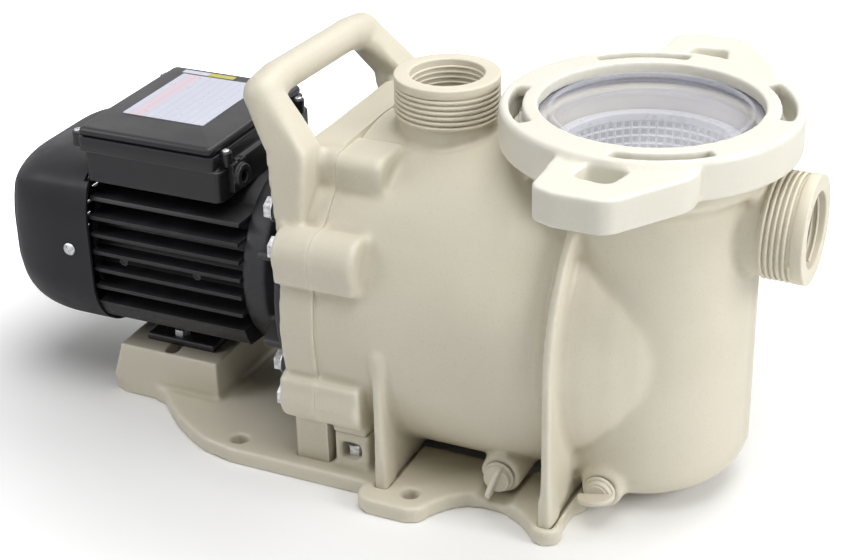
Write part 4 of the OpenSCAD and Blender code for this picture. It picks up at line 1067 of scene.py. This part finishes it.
# %% Cast the smaller parts
moulded("terminal_box_moulding", "terminal_box", voxel=1.3, rounds=3, material=SATIN_GREY)
moulded("bell_casting", "end_bell", voxel=1.7, rounds=3, material=BELL_GREY)
moulded("foot_casting", "motor_foot", voxel=1.2, rounds=3, material=FIN_BLACK)
moulded("cord_entry_moulding", "cord_entry", voxel=0.6, rounds=3, material=BLACK_PLASTIC)

# %% [markdown]
# The finned frame is an extrusion with thin fins, which a voxel would blur. Its flat faces are
# joined again and a small bevel rounds the edges instead.

# %% Finned frame


def round_edges(obj, width, segments, angle):
    """Bevels every edge of a piece that is sharper than this angle."""
    edge = obj.modifiers.new("edge", "BEVEL")
    edge.width, edge.segments = width * MM, segments
    edge.limit_method, edge.angle_limit = "ANGLE", math.radians(angle)
    bake_modifiers(obj)


fins = solid_copy("finned_frame", "motor_frame")
bm = bmesh.new()
bm.from_mesh(fins.data)
bmesh.ops.dissolve_limit(bm, angle_limit=math.radians(1.0), verts=bm.verts, edges=bm.edges)
bm.to_mesh(fins.data)
bm.free()
round_edges(fins, 0.5, 2, 35)
smooth(fins, 30)
fins.data.materials.append(FIN_BLACK)
stands_for(fins, BODY_OF["motor_frame"], "motor_frame")
print("finned frame:", len(fins.data.polygons), "faces")

# %% [markdown]
# ### Lid of the terminal box
# The lid is a shallow cap with a soft upper edge over a square-edged rim. Four round lugs stand
# at its ends and carry its screws. The picture shows two of them, and the other two mirror them.

# %% Box lid, rim and lugs


def plate(x, y, z, thick, corner):
    """A sheet with round corners, lying flat between two x and two y, in millimetres."""
    bm = bmesh.new()
    loop = []
    for cx, cy, start in ((x[1] - corner, y[1] - corner, 0), (x[0] + corner, y[1] - corner, 90),
                          (x[0] + corner, y[0] + corner, 180), (x[1] - corner, y[0] + corner, 270)):
        loop += round_corner(cx, cy, corner, start, start + 90)
    low = [bm.verts.new((px * MM, py * MM, z * MM)) for px, py in loop]
    high = [bm.verts.new((px * MM, py * MM, (z + thick) * MM)) for px, py in loop]
    bm.faces.new(high)
    bm.faces.new(low[::-1])
    wall_between(bm, low, high)
    return mesh_of(bm, "plate")


def rounded_off(mesh, width, segments):
    """The same mesh with its sharp edges rounded."""
    obj = collect(mesh.name, [mesh])
    round_edges(obj, width, segments, 40)
    made = obj.data
    bpy.data.objects.remove(obj)
    return made


LUGS = [(-222.6, -60.8), (-222.6, 60.8), (-100.4, -54.6), (-100.4, 54.6)]
LUG_TOP, LUG_TALL, LUG_R = 219.0, 11.0, 4.4
CAP = dict(x=(-218.2, -104.0), y=(-68.3, 68.3), z=217.6, thick=7.4, corner=5.0)
RIM = dict(x=(-218.8, -102.8), y=(-69.0, 69.0), z=206.6, thick=11.2, corner=4.5)
lug = [(0, -LUG_TALL), (LUG_R, -LUG_TALL), (4.6, -10.6), (4.6, -0.7), (3.9, 0), (0, 0)]
lid_parts = [rounded_off(plate(**CAP), 3.4, 5), rounded_off(plate(**RIM), 0.7, 2)]
lid_parts += [set_down(lathe(lug, 32), x, y, LUG_TOP) for x, y in LUGS]
# a web from each lug to the rim
for (x, y), toward_rim in zip(LUGS, (6, 6, -6, -6)):
    lid_parts.append(plate(sorted((x, x + toward_rim)), (y - LUG_R, y + LUG_R), LUG_TOP - LUG_TALL,
                           thick=10.2, corner=0.6))
box_lid = collect("box_lid_moulding", lid_parts, SATIN_GREY, 32)
mark_edges(box_lid, spread=1, gain=1.5)
stands_for(box_lid, "pump", "box_lid")
print("box lid:", len(box_lid.data.polygons), "faces")

# %% [markdown]
# ### Drain plugs
# Both drain plugs are the same moulding: a round head on a shank, with a thumb wing. One stands
# with its wing upright and the other with its wing level.

# %% Two plugs
DRAIN_Z = 24
VOLUTE_PLUG, POT_PLUG = (127, -95.4, DRAIN_Z), (198, -85.4, DRAIN_Z)
WING_HALF, WING_REACH, WING_THICK, WING_ROOT = 13.5, 16.6, 3.6, 3.4
PLUG_OUTLINE = ([(0, -16), (7.6, -16), (8, -15.4), (8, 0), (9.6, 0)] + round_corner(8.8, 2.8, 0.8, 0, 90, 4) +
                [(7.4, 3.6), (7.0, 4.2), (0, 4.4)])


def thumb_wing():
    """A half-round tab that stands out along Z from the plug's head."""
    bm = bmesh.new()
    arc = [math.radians(180 * i / 20) for i in range(21)]
    loop = [(WING_HALF * math.cos(a), WING_ROOT + (WING_REACH - WING_ROOT) * math.sin(a) ** 0.8) for a in arc]
    front = [bm.verts.new((x * MM, -WING_THICK / 2 * MM, z * MM)) for x, z in loop]
    back = [bm.verts.new((x * MM, WING_THICK / 2 * MM, z * MM)) for x, z in loop]
    bm.faces.new(front)
    bm.faces.new(back[::-1])
    wall_between(bm, back, front)
    bmesh.ops.recalc_face_normals(bm, faces=bm.faces)
    return rounded_off(mesh_of(bm, "wing"), 1.2, 3)


def drain_plug(name, node_name, seat, wing_turn):
    """A plug whose head meets its seat and whose wing points at the viewer."""
    wing = thumb_wing()
    wing.transform(Matrix.Rotation(math.radians(wing_turn), 4, "Z"))
    toward_viewer = Matrix.Rotation(math.radians(90), 4, "X")
    parts = [set_down(mesh, *seat, toward_viewer) for mesh in (lathe(PLUG_OUTLINE, 48), wing)]
    obj = collect(name, parts, PLUG_IVORY, 35)
    mark_edges(obj, spread=1, gain=1.2)
    stands_for(obj, node_name, node_name)


drain_plug("volute_plug_moulding", "volute_plug", VOLUTE_PLUG, 72)
drain_plug("pot_plug_moulding", "pot_plug", POT_PLUG, 12)
print("drain plugs: 2")

# %% [markdown]
# ### Zinc fasteners
# The pump is held by hexagon bolts in zinc plate. One bolt head is turned and given its
# hexagon, and Geometry Nodes set a copy on every place where the CAD has a bolt.

# %% Bolt and screw models


def hex_head(across, height, washer_r, washer_h, shank_r, shank):
    """A bolt head with its washer, standing on z = 0, shank downwards."""
    r = across / math.sqrt(3)
    bm = bmesh.new()
    low = [bm.verts.new((r * math.cos(math.radians(60 * k)) * MM, r * math.sin(math.radians(60 * k)) * MM,
                         washer_h * MM)) for k in range(6)]
    waist = [bm.verts.new((v.co.x, v.co.y, (washer_h + height - 0.7) * MM)) for v in low]
    crown = [bm.verts.new((v.co.x * 0.86, v.co.y * 0.86, (washer_h + height) * MM)) for v in low]
    wall_between(bm, low, waist)
    wall_between(bm, waist, crown)
    bm.faces.new(crown)
    bm.faces.new(low[::-1])
    washer = lathe([(0, 0), (washer_r - 0.3, 0), (washer_r, 0.3), (washer_r, washer_h - 0.3),
                    (washer_r - 0.3, washer_h), (0, washer_h)], 32)
    rod = lathe([(0, -shank), (shank_r - 0.5, -shank), (shank_r, -shank + 0.5), (shank_r, 0.2), (0, 0.2)], 24)
    return collect("bolt_model", [mesh_of(bm, "hex_head"), washer, rod], ZINC, 30)


def pan_head(r, height, slot_w, slot_deep):
    """A round screw head with a cross recess, standing on z = 0."""
    profile = [(0, -1.5), (r * 0.55, -1.5), (r * 0.55, 0), (r, 0), (r, height * 0.35)]
    profile += [(r * math.cos(math.radians(a)), height * 0.35 + height * 0.65 * math.sin(math.radians(a)))
                for a in (20, 40, 60, 75)] + [(0, height)]
    obj = collect("screw_model", [lathe(profile, 40)], ZINC, 40)
    for turn in (25, 115):
        bar = block(-r * 0.72, r * 0.72, -slot_w / 2, slot_w / 2, height - slot_deep, height + 2)
        bar.transform(Matrix.Rotation(math.radians(turn), 4, "Z"))
        cut_with(obj, bar)
    smooth(obj, 35)
    return obj


bolt = hex_head(across=15.0, height=6.5, washer_r=9.75, washer_h=1.5, shank_r=5.0, shank=49.0)
cover_screw = pan_head(r=5.0, height=2.1, slot_w=1.2, slot_deep=1.2)
lid_screw = pan_head(r=3.0, height=1.5, slot_w=0.8, slot_deep=0.9)
print("models: one bolt, two screws")

# %% A tree that sets fasteners on their places
fastener_tree, gin, gout = new_tree("fasteners_at_places", "GeometryNodeTree", [
    ("Places", "Geometry"), ("Fastener", "Object"), ("Turn", "Vector"), ("Material", "Material")], SHAPE)
model = node(fastener_tree, "GeometryNodeObjectInfo", Object=(gin, "Fastener"))
points = node(fastener_tree, "GeometryNodeMeshToPoints", Mesh=(gin, "Places"))
copies = node(fastener_tree, "GeometryNodeInstanceOnPoints", Points=(points, 0), Instance=(model, "Geometry"),
              Rotation=(gin, "Turn"))
end_tree(fastener_tree, gin, gout, copies)


def fasteners(model_obj, places, turn, material=ZINC):
    """Copies of one fastener at several places, in millimetres, all turned the same way."""
    mesh = bpy.data.meshes.new("places")
    mesh.from_pydata([Vector(p) * MM for p in places], [], [])
    return run_tree("fasteners", fastener_tree,
                    {"Fastener": model_obj, "Turn": turn, "Material": material}, mesh)


def part_of(name, meshes, body, material, *nodes):
    """A finished piece on this body, in place of these CAD nodes."""
    return stands_for(collect(name, meshes, material, 32), body, *nodes)


print("tree:", fastener_tree.name)

# %% Set the fasteners
BRACKET_SEAT, FLANGE_SEAT = -29, -56
SIDE_BOLT_Y, SIDE_BOLT_LOW, SIDE_BOLT_HIGH = 106, -61.0, 55.5
INNER_BOLT_Y, INNER_BOLT_UP = 62, 99.5
FLANGE_C = 88 * math.sin(math.radians(45))
COVER_SCREW = (-230, -78.5, SHAFT_Z + 5)
AWAY_FROM_PUMP = (0, -math.pi / 2, 0)
TOWARD_VIEWER, AWAY_FROM_VIEWER, UPRIGHT = (math.pi / 2, 0, 0), (-math.pi / 2, 0, 0), (0, 0, 0)

bolt_places = [(BRACKET_SEAT, s * SIDE_BOLT_Y, SHAFT_Z + up) for s in (-1, 1)
               for up in (SIDE_BOLT_LOW, SIDE_BOLT_HIGH)]
bolt_places += [(BRACKET_SEAT, s * INNER_BOLT_Y, SHAFT_Z + t * INNER_BOLT_UP)
                for s in (-1, 1) for t in (-1, 1)]
part_of("bracket_bolt_set", [fasteners(bolt, bolt_places, AWAY_FROM_PUMP)], "pump", ZINC, "bracket_bolts")
flange_places = [(FLANGE_SEAT, s * FLANGE_C, SHAFT_Z + t * FLANGE_C) for s in (-1, 1) for t in (-1, 1)]
part_of("flange_bolt_set", [fasteners(bolt, flange_places, AWAY_FROM_PUMP)], "pump", ZINC, "flange_bolts")

far_screw = (COVER_SCREW[0], -COVER_SCREW[1], COVER_SCREW[2])
side_screws = [fasteners(cover_screw, [COVER_SCREW], TOWARD_VIEWER),
               fasteners(cover_screw, [far_screw], AWAY_FROM_VIEWER)]
part_of("cover_screw_set", side_screws, "pump", ZINC, "cover_screws")
lid_screws = fasteners(lid_screw, [(x, y, LUG_TOP) for x, y in LUGS], UPRIGHT)
part_of("lid_screw_set", [lid_screws], "pump", ZINC, "lid_screws")
for model_obj in (bolt, cover_screw, lid_screw):
    bpy.data.objects.remove(model_obj)
print("fasteners:", len(bolt_places), "bracket bolts,", len(flange_places), "flange bolts, 2 cover screws,",
      len(LUGS), "lid screws")

# %% [markdown]
# ### Plates
# The real motor has a printed rating plate and a short strip on the lid of its box. Both stay
# bare here: a thin vinyl sheet with round corners, faint ruled lines and no words.

# %% Bare plates


def vinyl(name, ground, band, lines=None):
    """White vinyl with a coloured band and ruled lines across X, each from x to x in millimetres."""
    mat, tree, shader = new_finish(name)
    where = place_on_piece(tree)
    cloud = noise(tree, where, 12.0, 3.0)
    colour = mix_colour(tree, (cloud, 0), srgb(*ground), srgb(*(c - 8 for c in ground)))
    across = (node(tree, "ShaderNodeSeparateXYZ", Vector=where), "X")
    low, high, tint = band
    after = calc(tree, "GREATER_THAN", across, low * MM)
    before = calc(tree, "LESS_THAN", across, high * MM)
    inside = calc(tree, "MULTIPLY", (after, 0), (before, 0))
    colour = mix_colour(tree, (inside, 0), (colour, 2), srgb(*tint))
    if lines:
        start, pitch, tint = lines
        shifted = calc(tree, "SUBTRACT", across, start * MM)
        saw = calc(tree, "WRAP", (shifted, 0), pitch * MM, 0.0)
        rule = calc(tree, "LESS_THAN", (saw, 0), 0.5 * MM)
        colour = mix_colour(tree, (rule, 0), (colour, 2), srgb(*tint))
    rough = ramp_between(tree, (cloud, 0), 0.3, 0.7, 0.25, 0.4)
    feed(tree, shader, Base_Color=(colour, 2), Roughness=(rough, 0))
    return mat


WHITE_VINYL = vinyl("white_vinyl", (214, 217, 231), (-196, -184, (222, 203, 214)),
                    (-196, 6.8, (188, 192, 207)))
STRIP_VINYL = vinyl("strip_vinyl", (216, 219, 229), (-181, -150, (200, 194, 92)))
LID_TOP, VINYL_THICK = 225.0, 0.45
LABEL_FAR_Y = 54
lid_tree = tree_of(box_lid)
near_left = place_on(lid_tree, "label_near_left")
near_right = place_on(lid_tree, "label_near_right")
label = plate((near_left.x / MM, near_right.x / MM), (near_left.y / MM, LABEL_FAR_Y), LID_TOP,
              VINYL_THICK, corner=1.2)
part_of("rating_plate_bare", [label], "pump", WHITE_VINYL, "rating_plates")
strip = plate((-204, -158), (56, 62), LID_TOP, VINYL_THICK, corner=0.8)
part_of("strip_plate_bare", [strip], "pump", STRIP_VINYL, "rating_plates")
print("label:", round((near_right.x - near_left.x) / MM, 1), "mm wide")

# %% [markdown]
# ### Small fittings placed from the picture
# Two small screw bosses sit among the fins. A sight line through each point of the picture
# meets the plane of the fins' outer edges where the boss stands.

# %% Fin screws
FIN_EDGE_Y, BOSS_Y = -74.5, -74.2
BOSS_OUTLINE = [(0, -1.0), (3.6, -1.0), (3.6, 0.3), (3.1, 0.7), (2.2, 0.7), (2.0, 0.1), (0, 0.1)]
boss_model = collect("boss_model", [lathe(BOSS_OUTLINE, 32)], FIN_BLACK, 35)
boss_places = {}
for point in ("fin_screw_left", "fin_screw_right"):
    spot = place_on(FIN_EDGE_Y * MM, point)
    boss_places[point] = (spot.x / MM, BOSS_Y, spot.z / MM)
bosses = fasteners(boss_model, boss_places.values(), TOWARD_VIEWER, FIN_BLACK)
part_of("fin_screw_bosses", [bosses], "pump", FIN_BLACK)
bpy.data.objects.remove(boss_model)
print("fin bosses at", [tuple(round(c, 1) for c in place) for place in boss_places.values()])

# %% [markdown]
# ## Materials for the CAD nodes that stay
# The parts inside are already right in shape. Each gets the finish of its trade: ground steel
# for the shaft, varnished copper for the windings, rubber for the seals.

# %% Finish the carried nodes
CARRIED = {
    "base_bolts": ZINC, "body_seal": RUBBER, "diffuser": BLACK_PLASTIC, "impeller": BLACK_PLASTIC,
    "impeller_nut": BRASS, "seal_seat": CERAMIC, "seal_head": BLACK_PLASTIC, "seal_spring": STEEL,
    "slinger": RUBBER, "lid_seal": RUBBER, "volute_plug_seal": PLUG_IVORY, "pot_plug_seal": PLUG_IVORY,
    "rear_shield": BELL_GREY, "cooling_fan": BLACK_PLASTIC, "shaft": STEEL, "rotor_core": STEEL,
    "stator_core": STEEL, "windings": COPPER, "front_bearing": STEEL, "rear_bearing": STEEL,
    "wave_spring": STEEL, "tie_bolts": ZINC, "foot_bolts": ZINC, "box_gasket": RUBBER,
    "capacitor": BLACK_PLASTIC, "terminal_block": CERAMIC,
}
for name, mat in CARRIED.items():
    obj = NODES[name]
    if not obj.material_slots:
        obj.data.materials.append(mat)
    for slot in obj.material_slots:
        slot.material = mat
print("carried nodes finished:", len(CARRIED))

# %% [markdown]
# ## Seen vertices
# For each named point of the picture the script finds the finished vertices of that fitting
# which the camera sees.

# %% What the camera sees
for name, obj in NODES.items():
    if name not in REPLACED:
        SHOWN[name] = obj
bpy.context.view_layer.update()
graph = bpy.context.evaluated_depsgraph_get()
HIDDEN_BEHIND = 0.0012


def seen_vertices(obj, low, high):
    """Picture places of the vertices in a box, in millimetres, that the camera sees."""
    found = []
    for v in obj.data.vertices:
        if not all(a <= c <= b for a, c, b in zip(low, v.co / MM, high)):
            continue
        line = v.co - CAMERA_AT
        hit, at, *_ = scene.ray_cast(graph, CAMERA_AT, line.normalized())
        if not hit or (at - CAMERA_AT).length > line.length - HIDDEN_BEHIND:
            found.append(seen_at(v.co))
    return found


def around(x, y, z, r):
    return (x - r, y - r, z - r), (x + r, y + r, z + r)


# the piece that holds each small fitting, and a box round it
UPSTAND_SCREW = (18, -96, 22)
WATCHED = {
    "cover_screw": ("cover_screw_set", around(*COVER_SCREW, 8)),
    "lid_screw_left": ("lid_screw_set", around(*LUGS[0], LUG_TOP, 5)),
    "lid_screw_right": ("lid_screw_set", around(*LUGS[2], LUG_TOP, 5)),
    "bolt_upper": ("bracket_bolt_set", around(BRACKET_SEAT, -SIDE_BOLT_Y, SHAFT_Z + SIDE_BOLT_HIGH, 13)),
    "bolt_lower": ("bracket_bolt_set", around(BRACKET_SEAT, -SIDE_BOLT_Y, SHAFT_Z + SIDE_BOLT_LOW, 13)),
    "upstand_screw": ("base_bolts", around(*UPSTAND_SCREW, 12)),
    "drain_front": ("volute_plug_moulding", around(*VOLUTE_PLUG, 30)),
    "drain_pot": ("pot_plug_moulding", around(*POT_PLUG, 30)),
}
for point, place in boss_places.items():
    WATCHED[point] = ("fin_screw_bosses", around(*place, 6))
for point, (name, box) in WATCHED.items():
    places = seen_vertices(SHOWN[name], *box)

# %% Rims of the base holes, and the outlet's seen vertices
BASE_HOLES = {"floor_hole_left": (-76, -105), "floor_hole_right": (71, -121)}
HOLE_R, HOLE_Z = 6.5, 12.5
OUTLET_BOX = (0, -45, 270), (100, 45, 282)
for point, (x, y) in BASE_HOLES.items():
    rim = [(x + HOLE_R * math.cos(t * 0.3), y + HOLE_R * math.sin(t * 0.3), HOLE_Z) for t in range(21)]
min(seen_vertices(outlet, *OUTLET_BOX))
